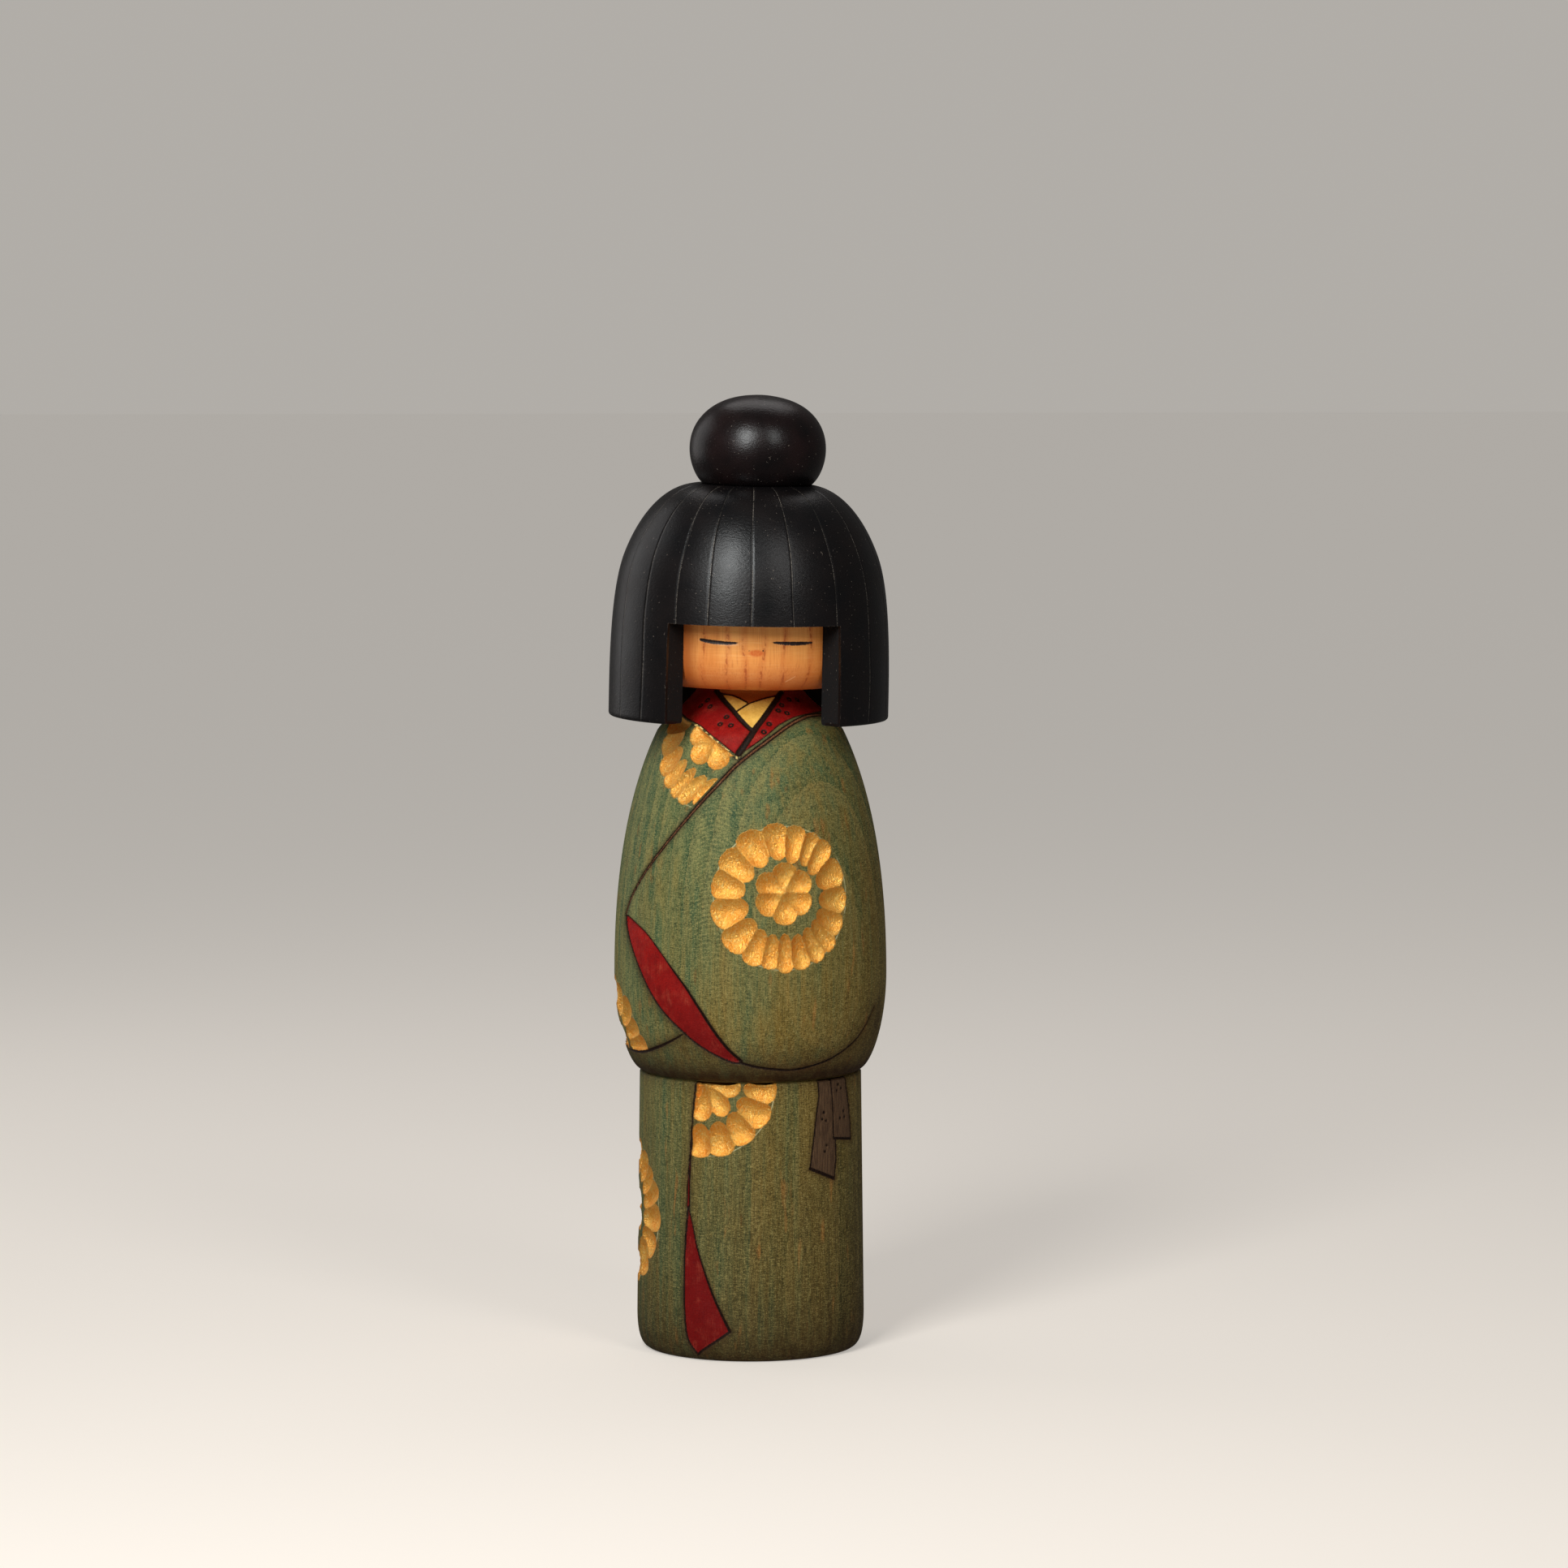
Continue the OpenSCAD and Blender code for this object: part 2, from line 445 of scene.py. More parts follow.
class Flower:
    """A chrysanthemum of gouge cuts: a ring of petals round a rosette."""

    outer = 18.4
    inner = 9.2
    circle = 17.8
    depth = 1.6
    petals = tuple(range(0, 360, 20))
    heart = (4, 60, 117, 178, 240, 302)
    rosette = 7.6
    slant = (0, 0)
    lift = 0.0
    turn = 0.0
    plump = 1.2

    def __init__(self, bearing, height, seed, **own):
        self.bearing, self.height = bearing, height
        self.__dict__.update(own)
        self.cuts = list(self.scoops(np.random.default_rng(seed)))

    def scoops(self, random):
        """Each gouge cut: its middle, direction, half length, half width, flare and squareness."""
        petals = np.array(self.petals, float)
        gaps = (np.roll(petals, -1) - np.roll(petals, 1)) % 360
        for angle, gap in zip(petals, gaps):
            middle = (self.outer + self.inner) / 2 + random.uniform(-0.35, 0.35)
            half = (self.outer - self.inner) / 2 * random.uniform(0.94, 1.08)
            width = math.radians(gap / 4) * middle * self.plump * random.uniform(0.97, 1.06)
            lean = self.slant[0] * math.sin(math.radians(2 * (angle - self.slant[1])))
            lean += random.uniform(-4, 4)
            yield angle, middle, 0.0, angle + lean, half, width, 0.28, 2.6
        share = 6 / len(self.heart)
        for angle in self.heart:
            angle += self.turn
            middle = self.rosette * 0.5 + random.uniform(-0.2, 0.2)
            width = self.rosette * share * random.uniform(0.38, 0.46)
            way = angle + random.uniform(-9, 9)
            yield angle, middle, self.lift, way, self.rosette * 0.53, width, 0.2, 2.0

    def carve(self, fields, outline, spot, room=None):
        """Cuts and gilds the flower where room, a distance from what bounds it, is over zero."""
        x = spot.beside(self.bearing)
        y = spot.length - outline.at_height(self.height)
        near = np.hypot(x, y) < self.outer + 4
        if not near.any():
            return
        x, y = x[near], y[near]
        first = np.zeros(x.shape)
        second = np.zeros(x.shape)
        cover = np.full(x.shape, -FAR)
        for angle, middle, lift, way, half, width, flare, square in self.cuts:
            a, w = math.radians(angle), math.radians(way)
            px, py = x - middle * math.sin(a), y - lift - middle * math.cos(a)
            u = (px * math.sin(w) + py * math.cos(w)) / half
            v = (px * math.cos(w) - py * math.sin(w)) / (width * (1 + flare * np.clip(u, -1, 1)))
            reach = np.abs(u) ** square + np.abs(v) ** 2.2
            depth = self.depth * (width / 2.9) ** 0.5 * np.clip(1 - reach, 0, 1)
            cover = np.maximum(cover, (1 - np.clip(reach, 0, 40) ** 0.43) * min(half, width))
            second = np.maximum(second, np.minimum(first, depth))
            first = np.maximum(first, depth)
        if room is not None:
            room = room[near]
            cover = np.minimum(cover, room)
            first = first * ease(room, -0.1, 0.35)
        fields["gold"][near] = np.minimum(fields["gold"][near], -cover)
        crease = np.where(second > 0, (first - second) / self.depth, FAR)
        fields["crease"][near] = np.minimum(fields["crease"][near], crease)
        fields["sink"][near] = np.maximum(fields["sink"][near], first)
        circle = np.abs(np.hypot(x, y) - self.circle)
        if room is not None:
            circle = np.where(room > 0, circle, FAR)
        fields["scribe"][near] = np.minimum(fields["scribe"][near], circle)


def punched(fields, outline, spot, places, radius=0.52, half=0.27):
    """Small rings punched in the wood, with burnt lines of that half width."""
    for bearing, height in places:
        x, y = spot.beside(bearing), spot.length - outline.at_height(height)
        d = np.abs(np.hypot(x, y) - radius)
        nearer(fields, "dark", d - half)
        fields["sink"] += 0.22 * np.clip(1 - (d / 0.4) ** 2, 0, 1)


# ---------------------------------------------------------------- the kimono's design

KIMONO = Outline(
    [
        [(27.3, 70.4), (28.3, 71.0)],
        joined(
            cubic((28.3, 71.0), (2.6, 1.7), (0, -12.5), (34.25, 95.0)),
            cubic((34.25, 95.0), (0, 25.5), (7.2, -15.1), (23.4, 155.9)),
            cubic((23.4, 155.9), (-1, 2.1), (3.2, -4.9), (12.7, 167.3)),
        ),
    ],
    cell=0.87,
)
KIMONO_COLUMNS = 246

SKIRT = Outline(
    [
        joined(
            cubic((25.4, 0), (2.2, 0), (0, -6), (28.65, 9)),
            [(28.65, 9), (28.52, 20), (27.9, 69.8)],
        ),
        [(27.9, 69.8), (27.3, 70.4)],
    ],
    cell=0.85,
)
SKIRT_COLUMNS = 210

# The points of the design were picked by eye in the photo, and a separate calculation
# turned each into its bearing and height. Most of them are given here as it printed them.

# Edge where the right front lies over the left one.
OVERLAP = smooth([
    (70, 160.4), (50, 160.6), (35.2, 159.8), (23.7, 158.5), (13.6, 156.6), (3.5, 153.9),
    (-3.3, 151.8), (-10.9, 148.9), (-18.6, 144.9), (-25.7, 141), (-37, 134), (-47.7, 127.2),
    (-57.1, 121.2), (-65.6, 114.9), (-69.6, 110.8),
])
# Lower edge of the red collar, right and left of its point.
COLLAR_RIGHT = smooth([
    (-9, 151.6), (-7.4, 152.3), (3.7, 155.4), (12, 157.6), (20.1, 159.2), (36, 160.7),
    (60, 161.2), (90, 161),
])
COLLAR_LEFT = smooth([
    (-90, 161), (-70, 160.8), (-55.5, 159.9), (-40.5, 158.8), (-33, 157.7), (-22.6, 155.5),
    (-15.4, 153.5), (-9, 151.6),
])
# Inner edges of the collar, thick burnt lines: the left one stops under the right one.
LAPEL_LEFT = smooth([(-44, 166.9), (-37.2, 166), (-26, 164.2), (-15.6, 162.1), (-1.6, 158)])
LAPEL_RIGHT = smooth([
    (36, 167), (30, 166), (16.4, 163.1), (4.9, 159.6), (-0.7, 157.2), (-8.6, 152.4),
])
# Upper edges of the yellow under-collar.
YOLK_LEFT = smooth([(-42, 166.9), (-34.7, 166.3), (-19.1, 165.9), (-5.1, 164.5)])
YOLK_RIGHT = smooth([
    (34, 166.7), (29.7, 166.2), (14.9, 165.6), (3.4, 164.8), (-4, 164.1), (-14.4, 162.2),
])
PUNCHES = [
    (-47.7, 164.4), (-40.3, 163), (-51.7, 163),
    (-20.6, 160.8), (-23.7, 159.1), (-15.6, 158.9),
    (28, 163.6), (22.4, 162.3), (29.2, 161.6),
    (11.3, 159.2), (6.6, 157.4),
    (40, 164.9), (50.9, 164.7),
]

# Red inside of the sleeve, and the folds that run from it.
SLEEVE_TOP = smooth([
    (-69.8, 110.7), (-64.1, 110.1), (-52, 107.1), (-42.6, 102.4), (-35.7, 98.1),
    (-29.9, 94.3), (-23.7, 89.1), (-17.7, 83.7), (-11.9, 79.3), (-6.3, 76.3),
])
SLEEVE_LOW = smooth([
    (-69.8, 110.7), (-68, 107.8), (-62.1, 102.7), (-54.4, 96.6), (-47, 91.1),
    (-40.2, 87), (-33, 83.5), (-26.2, 80.4), (-18.4, 77.8), (-10.7, 75.9), (-6.3, 75.7),
])
SLEEVE_FOLD = smooth([
    (-31.2, 83.1), (-38.4, 80.9), (-47.2, 78.8), (-59.9, 76.8), (-74, 76.2), (-92, 76.6),
    (-108, 77.6), (-122, 76.8), (-134, 73.4), (-141, 71.4),
])
FRONT_FOLD = smooth([
    (-6.3, 75.8), (0, 74.8), (8, 74.1), (17.2, 73.7), (27.3, 74.4), (38.8, 76.2),
    (50.8, 79.7), (57.8, 83.4), (64, 87.8),
])

# All the folds above the hem, once round: the wood below them is painted browner, partly as brown
# stain and partly as painted shade on the kimono's downward-facing underside.
FOLDS = np.vstack([
    [(-180, 71)], SLEEVE_FOLD[::-1], SLEEVE_LOW[5:-1], FRONT_FOLD,
    [(70, 88), (84, 79), (100, 73), (180, 71)],
])

KIMONO_FLOWERS = {
    "front": Flower(
        12.5, 117, 125,
        petals=(-6, 13, 31, 45, 69, 94, 116, 133, 148, 164, 180, 195, 211, 231, 257, 282, 305, 330),
        slant=(-9, 0), lift=1.1,
    ),
    "shoulder": Flower(
        -23.5, 155.3, 235,
        petals=(8, 28, 48, 68, 88, 108, 128, 146, 163, 182, 200, 214, 229, 245, 266, 286, 310, 338),
        slant=(-34, 222), turn=-14, plump=1.12, depth=1.15,
    ),
    "side": Flower(
        -88.5, 76.5, 12,
        petals=(5, 25, 46, 66, 82, 102, 122, 142, 162, 184, 204, 224, 244, 264, 284, 304, 324, 344),
    ),
    "back": Flower(148, 103, 21),
    "back_shoulder": Flower(-157, 141, 34),
}
SKIRT_FLOWERS = {
    "hem": Flower(
        -26, 69.6, 40,
        petals=(26, 49, 71, 94, 117, 140, 163, 186, 209, 232, 254, 276, 299, 321, 343, 4),
        heart=(188, 139, 91, 44, 0, 232, 276, 318),
        slant=(-14, 0), rosette=8.9, inner=9.6, plump=1.15,
    ),
    "side": Flower(
        -92, 35, 47,
        petals=(16, 36, 53, 70, 93, 119, 143, 169, 192, 213, 234, 255, 276, 297, 318, 338, 357),
        slant=(-20, 20), plump=1.12,
    ),
    "back": Flower(164, 24, 52),
    "back_hem": Flower(127, 66, 61),
}


def collar(fields, spot):
    """Red collar with a yellow under-collar, cut in low steps, and its burnt edges."""
    right = above(COLLAR_RIGHT, KIMONO, spot)
    left = above(COLLAR_LEFT, KIMONO, spot)
    point = math.radians(COLLAR_LEFT[-1][0])
    red_edge = np.where(spot.bearing > point, right, left)
    nearer(fields, "red", -red_edge)
    outer = np.abs(red_edge)
    burn(fields, outer, 0.16, 0.28)
    worn = along(COLLAR_LEFT, KIMONO, spot)
    specks = np.where(worn[1] > 0.55, np.abs(worn[0] - 0.42), FAR)
    specks = np.where((spot.bearing < point) & (red_edge < 0), specks, FAR)
    nearer(fields, "worn", specks)
    low = np.where(worn[1] > 0.35, np.abs(worn[0] - 0.85), FAR)
    burn(fields, np.where(red_edge < 0, low, FAR), 0.14, 0.2)

    lapel_left, _ = along(LAPEL_LEFT, KIMONO, spot)
    lapel_right, passed = along(LAPEL_RIGHT, KIMONO, spot)
    over_left = above(LAPEL_LEFT[np.argsort(LAPEL_LEFT[:, 0])], KIMONO, spot)
    over_right = above(LAPEL_RIGHT[::-1], KIMONO, spot)
    crossing = math.radians(-1.6)
    front = np.abs(spot.bearing) < math.radians(40)
    bare = np.where(spot.bearing < crossing, over_left, over_right)
    bare = np.where(front, bare, -FAR)
    yolk_left = above(YOLK_LEFT, KIMONO, spot)
    yolk_right = above(YOLK_RIGHT[::-1], KIMONO, spot)
    skin = np.where(spot.bearing < math.radians(-5), yolk_left, yolk_right)
    skin = np.where(front & (bare > 0), skin, -FAR)
    nearer(fields, "yellow", -bare)
    nearer(fields, "skin", -skin)
    fields["sink"] += 0.3 * ease(bare, -0.1, 0.5) + 0.25 * ease(skin, -0.1, 0.4)
    burn(fields, lapel_left, 0.68, 0.6)
    burn(fields, lapel_right, 0.66 + 0.24 * passed, 0.65)
    burn(fields, np.where(bare > 0, along(YOLK_LEFT, KIMONO, spot)[0], FAR), 0.27, 0.45)
    burn(fields, along(YOLK_RIGHT, KIMONO, spot)[0], 0.27, 0.5)
    punched(fields, KIMONO, spot, PUNCHES)


def overlap(fields, spot):
    """Double burnt line, dark, pale and dark again, that narrows on its way down."""
    d, passed = along(OVERLAP, KIMONO, spot)
    half = 0.46 - 0.2 * passed
    burn(fields, np.abs(d - half), 0.21 - 0.03 * passed, 0.32)
    nearer(fields, "core", d - half)


def sleeve(fields, spot):
    """Red sleeve lining, sunk under its right edge, and the burnt folds."""
    lens = np.vstack([SLEEVE_TOP, SLEEVE_LOW[::-1][1:-1]])
    edge = area(lens, KIMONO, spot)
    nearer(fields, "red", edge)
    top, passed = along(SLEEVE_TOP, KIMONO, spot)
    low, _ = along(SLEEVE_LOW, KIMONO, spot)
    deep = 0.62 * ease(-edge, 0, 0.5) * (1 - 0.6 * ease(top, 0.3, 5.5))
    deepen(fields, deep)
    burn(fields, np.where(edge < 0.3, top, top * 1.6), 0.2 + 0.36 * ease(passed, 0.2, 0.75), 0.45)
    burn(fields, low, 0.24, 0.38)
    d, passed = along(SLEEVE_FOLD, KIMONO, spot)
    burn(fields, d, 0.14 + 0.26 * np.sin(np.clip(passed * 2.2, 0, 1) * math.pi), 0.32)
    d, passed = along(FRONT_FOLD, KIMONO, spot)
    burn(fields, d, 0.34 - 0.16 * passed, 0.35)
    fields["fold"] = above(FOLDS, KIMONO, spot, reach=FAR)


def carve_kimono(spot):
    """Everything that is cut in or painted on the kimono."""
    fields = blank(spot)
    degrees = np.degrees(spot.bearing)
    below_collar = -above(COLLAR_LEFT, KIMONO, spot) - 0.55
    above_overlap = above(OVERLAP[::-1], KIMONO, spot) - 0.95
    above_overlap = np.where(degrees < -69, FAR, above_overlap)
    above_fold = above(SLEEVE_FOLD[::-1], KIMONO, spot) - 0.3
    rooms = {
        "shoulder": np.minimum(below_collar, above_overlap),
        "side": above_fold,
    }
    for name, flower in KIMONO_FLOWERS.items():
        flower.carve(fields, KIMONO, spot, rooms.get(name))
    collar(fields, spot)
    overlap(fields, spot)
    sleeve(fields, spot)
    return ready(fields)


def make_kimono():
    """The body block from the hem up, with the leaning end of its neck and the dowel's bore."""
    shell, (bottom, top), bearing = turned(KIMONO, KIMONO_COLUMNS, carve_kimono, reach=0.75)
    points = shell.points[0]
    neck_top = KIMONO.place[-1, 1]
    tilt = math.tan(math.radians(HEAD_LEAN))
    share = ease(points[:, 2], neck_top - 8, neck_top)
    points[:, 2] -= share * (points[:, 0] * tilt + 0.25)
    points[top, 0] *= 1.01
    points[top, 1] *= 1.01
    shell.lid(bottom, up=False)
    rings = [(12.4, neck_top), (9, neck_top), (BODY_BORE + 0.4, neck_top)]
    rings += [(BODY_BORE, neck_top - 0.4), (BODY_BORE, neck_top - 21)]
    bore(shell, top, bearing, rings, lean=on_head, skin=-1)
    return shell.mesh("kimono")


# ---------------------------------------------------------------- the skirt's design

SKIRT_FOLD = smooth([(-31, 71.1), (-33, 62.7), (-34.3, 52.4), (-35.2, 46.3), (-35.6, 38.8)])
LINING_LEFT = smooth([
    (-35.6, 38.8), (-36.9, 32.3), (-37.8, 24.1), (-37.8, 16.1), (-37.1, 10), (-35.4, 5.2),
    (-30.8, 1.4),
])
LINING_RIGHT = smooth([
    (-35.6, 38.8), (-33.1, 34.4), (-30.2, 28.5), (-26, 22.6), (-21.3, 16.8), (-16.2, 11.6),
    (-12.4, 8),
])
LINING_FOOT = smooth([(-12.4, 8), (-19.6, 5.4), (-27.9, 2.6), (-30.8, 1.4)])
# The two ends of the sash that hang from under the hem.
SASH_LONG = [(34.9, 71), (35.8, 66.4), (34.2, 62.2), (32.3, 55.8), (29.9, 48.1), (45.9, 44.8),
             (47.7, 50.5), (47.2, 55), (45.9, 55.4), (45.3, 64.5), (43.9, 71)]
SASH_SHORT = [(43.9, 71), (45.3, 64.5), (46, 55.2), (61.9, 54.1), (61, 58.9), (58.7, 64.9),
              (55.8, 71)]
SASH_PUNCHES = [
    (49.9, 68.6), (52.7, 67.5), (49, 67), (54.7, 61.6), (55.6, 60.1), (51.6, 60),
    (39.1, 62), (38.1, 60.4), (40.6, 59.9), (40.9, 53.7), (39.6, 52.2),
]


def lining(fields, spot):
    """Burnt fold down the skirt, opening on a red lining."""
    d, passed = along(SKIRT_FOLD, SKIRT, spot)
    half = np.clip(passed - 0.35, 0, 1) * 0.6
    fields["red"] = np.where(half > 0, np.minimum(fields["red"], d - half), fields["red"])
    burn(fields, np.abs(d - half), 0.22 - 0.04 * passed, 0.4)
    shape = np.vstack([LINING_LEFT, LINING_FOOT[::-1][1:], LINING_RIGHT[::-1][1:-1]])
    edge = area(shape, SKIRT, spot)
    nearer(fields, "red", edge)
    right, passed = along(LINING_RIGHT, SKIRT, spot)
    foot, _ = along(LINING_FOOT, SKIRT, spot)
    side = np.minimum(right, foot)
    deep = 0.6 * ease(-edge, 0, 0.5) * (1 - 0.7 * ease(side, 0.3, 6))
    deepen(fields, deep)
    burn(fields, np.where(edge < 0.2, right, right * 1.5), 0.2 + 0.3 * passed, 0.45)
    burn(fields, foot, 0.32, 0.45)
    burn(fields, along(LINING_LEFT, SKIRT, spot)[0], 0.24, 0.35)


def sash(fields, spot):
    """The sash's two ends: burnt outlines, burnt ends and punched rings."""
    for shape in (SASH_LONG, SASH_SHORT):
        shape = np.array(shape, float)
        edge = area(shape, SKIRT, spot)
        nearer(fields, "sash", edge)
        burn(fields, np.abs(edge), 0.22, 0.3)
        deepen(fields, 0.12 * ease(-edge, 0, 0.4))
    burn(fields, along([(29.9, 48.3), (45.9, 45.1)], SKIRT, spot)[0], 0.42, 0.4)
    burn(fields, along([(46.2, 55.2), (61.9, 54.2)], SKIRT, spot)[0], 0.32, 0.35)
    punched(fields, SKIRT, spot, SASH_PUNCHES, radius=0.2, half=0.18)


def carve_skirt(spot):
    """Everything that is cut in or painted on the skirt."""
    fields = blank(spot)
    fold = np.interp(spot.height, SKIRT_FOLD[::-1, 1], SKIRT_FOLD[::-1, 0])
    right_of_fold = (np.degrees(spot.bearing) - fold) * math.pi / 180 * spot.radius - 0.3
    rooms = {"hem": right_of_fold}
    for name, flower in SKIRT_FLOWERS.items():
        flower.carve(fields, SKIRT, spot, rooms.get(name))
    lining(fields, spot)
    sash(fields, spot)
    return ready(fields)


def make_skirt():
    """The body block below the hem, closed by its flat foot."""
    shell, (bottom, top), bearing = turned(SKIRT, SKIRT_COLUMNS, carve_skirt, reach=0.75)
    shell.lid(top)
    bore(shell, bottom, bearing, [(20, 0), (12, 0), (5, 0)], up=False)
    return shell.mesh("skirt")


# ---------------------------------------------------------------- the head

CHIN_Z = 167.6
FACE_TOP = 195.6
FACE_R = 27.9
FACE = Outline(
    [
        [(20.5, CHIN_Z), (20.7, CHIN_Z)],
        joined(
            cubic((20.7, CHIN_Z), (4.4, 0), (0, -4.8), (FACE_R, CHIN_Z + 8)),
            [(FACE_R, CHIN_Z + 8), (FACE_R, CHIN_Z + 14), (FACE_R, FACE_TOP)],
        ),
    ],
    cell=0.95,
)
FACE_COLUMNS = 180
EYE_LEFT = smooth([(-28.6, 180.3), (-23, 179.9), (-18.2, 179.75), (-13, 179.65), (-8, 179.75)])
EYE_RIGHT = smooth([(9.8, 180), (15, 179.85), (20.4, 179.75), (26, 179.75), (31.7, 179.9)])
NOSTRILS = [(-2.3, 177.9), (4.7, 177.9)]
NOSE = (1.2, 177.3)
PORE_LINES = (-26.8, -13.8, -4.7, 4.8, 15.8, 30.5)
SCRATCH = [(17.7, 170.1), (22.6, 171.5)]


def carve_face(spot):
    """Closed eyes in ink, a small nose, and the distance to the wood's lines of pores."""
    fields = {name: np.full(spot.length.shape, FAR) for name in ("ink", "nose", "pores", "nick")}
    fields["sink"] = np.zeros(spot.length.shape)
    for line, thick in ((EYE_LEFT, 0.7), (EYE_RIGHT, 1.1)):
        d, passed = along(line, FACE, spot)
        half = 0.14 + 0.34 * np.sin(math.pi * np.clip(passed, 0, 1) ** thick) ** 0.5
        nearer(fields, "ink", d - half)
        deepen(fields, 0.16 * np.clip(1 - (d / 0.55) ** 2, 0, 1))
    for bearing, height in NOSTRILS:
        d = np.hypot(spot.beside(bearing), spot.height - height)
        nearer(fields, "ink", d - 0.2)
    nose = np.hypot(spot.beside(NOSE[0]) / 2.1, (spot.height - NOSE[1]) / 0.95)
    fields["nose"] = nose
    for bearing in PORE_LINES:
        sway = 0.35 * np.sin(spot.height / 2.6 + bearing)
        nearer(fields, "pores", np.abs(spot.beside(bearing) + sway))
    fields["nick"] = along(SCRATCH, FACE, spot)[0]
    fields["detail"] = np.minimum.reduce([fields["ink"], fields["nick"], fields["nose"] - 1])
    return fields


def make_face():
    """The turned block that fills the hair cap and carries the face."""
    shell, (bottom, top), bearing = turned(FACE, FACE_COLUMNS, carve_face, reach=0.8)
    shell.lid(top)
    rings = [(12, CHIN_Z), (5.3, CHIN_Z), (FACE_BORE, CHIN_Z + 0.3), (FACE_BORE, CHIN_Z + 16)]
    bore(shell, bottom, bearing, rings, up=False)
    shell.points = [on_head(np.vstack(shell.points))]
    return shell.mesh("face_block")


CAP_R = 35.1
CAP_RIM = 159.3
CAP_BORE = 28.0
RIM_ROUND = 0.8
SEAT_Z = CAP_RIM + 58.4
FRINGE_Z = CAP_RIM + 25
OPENING = 38.0
STRANDS = (
    -67.8, -51.5, -34.4, -19.9, -1.4, 16.1, 36.6, 56.5, 75, 93, 111, 130, 148, 166, -175,
    -157, -139, -121, -103, -85,
)
CAP = Outline(
    [
        joined(
            cubic(
                (CAP_R - RIM_ROUND, CAP_RIM), (0.45, 0), (0, -0.45), (CAP_R, CAP_RIM + RIM_ROUND), 6
            ),
            [(CAP_R, CAP_RIM + RIM_ROUND), (CAP_R, CAP_RIM + 5.84)],
            cubic((CAP_R, CAP_RIM + 5.84), (0, 16), (2.8, -7), (CAP_R * 0.898, CAP_RIM + 41.4)),
            cubic((CAP_R * 0.898, CAP_RIM + 41.4), (-1.7, 4.4), (9.9, -1.2), (14.8, SEAT_Z)),
        ),
    ],
    cell=0.75 * SPLIT,
    marks=(CAP_RIM + RIM_ROUND, FRINGE_Z),
)


def cap_columns():
    """Bearings of the cap's columns in degrees, and each column's strand and offset from it."""
    plain = np.arange(-180, 180, 1.25)
    gap = 2.0
    columns = []
    for degrees in plain:
        turns = (degrees - np.array(STRANDS) + 180) % 360 - 180
        if np.abs(turns).min() > gap and abs(abs(degrees) - OPENING) > 0.45:
            columns.append((degrees, None))
    for strand in STRANDS:
        for offset in (-1.2, -0.75, -0.32, 0, 0.32, 0.75, 1.2):
            if abs(abs(strand + offset) - OPENING) > 0.15:
                columns.append((strand + offset, strand))
    columns += [(-OPENING, None), (OPENING, None)]
    return sorted(columns, key=lambda c: c[0])


def strand_lines(columns):
    """Bearing of every place on the cap, and its distance to the nearest strand."""
    radius, height = CAP.place.T
    base = np.array([c[0] for c in columns])
    has = np.array([c[1] is not None for c in columns])
    sway = 0.28 * np.sin(height / 8.5)[None, :] * np.where(has, 1, 0)[:, None]
    phase = np.array([0 if c[1] is None else c[1] for c in columns])[:, None]
    sway = sway + np.where(has, 0.2, 0)[:, None] * np.sin(height[None, :] / 3.7 + phase)
    centre = np.array([1e3 if c[1] is None else c[1] for c in columns])
    offset = np.radians(np.abs(base - centre))[:, None] * radius[None, :]
    offset = np.where(has[:, None], offset, FAR)
    for k in np.nonzero(~has)[0]:
        turns = np.radians((base[k] - np.array(STRANDS) + 180) % 360 - 180)
        offset[k] = np.minimum(FAR, np.abs(turns).min() * radius)
    return np.radians(base[:, None] + sway), offset


def edge_wear(base):
    """Distance of every place on the cap to the nearest edge that hands have rubbed."""
    radius, height = CAP.place.T
    arc_to_edge = np.abs(np.abs(base) - OPENING)[:, None] * math.pi / 180 * radius[None, :]
    up_to_edge = np.maximum(0, height - FRINGE_Z)[None, :]
    side_wear = np.hypot(arc_to_edge, up_to_edge)
    rim_wear = (height - CAP_RIM)[None, :] + 0 * side_wear
    above_opening = np.maximum(0, np.abs(base) - OPENING)[:, None] * 0.6
    fringe_wear = np.hypot(np.abs(height - FRINGE_Z)[None, :], above_opening)
    return np.minimum(FAR, np.minimum.reduce([side_wear, rim_wear + 0.6, fringe_wear]))


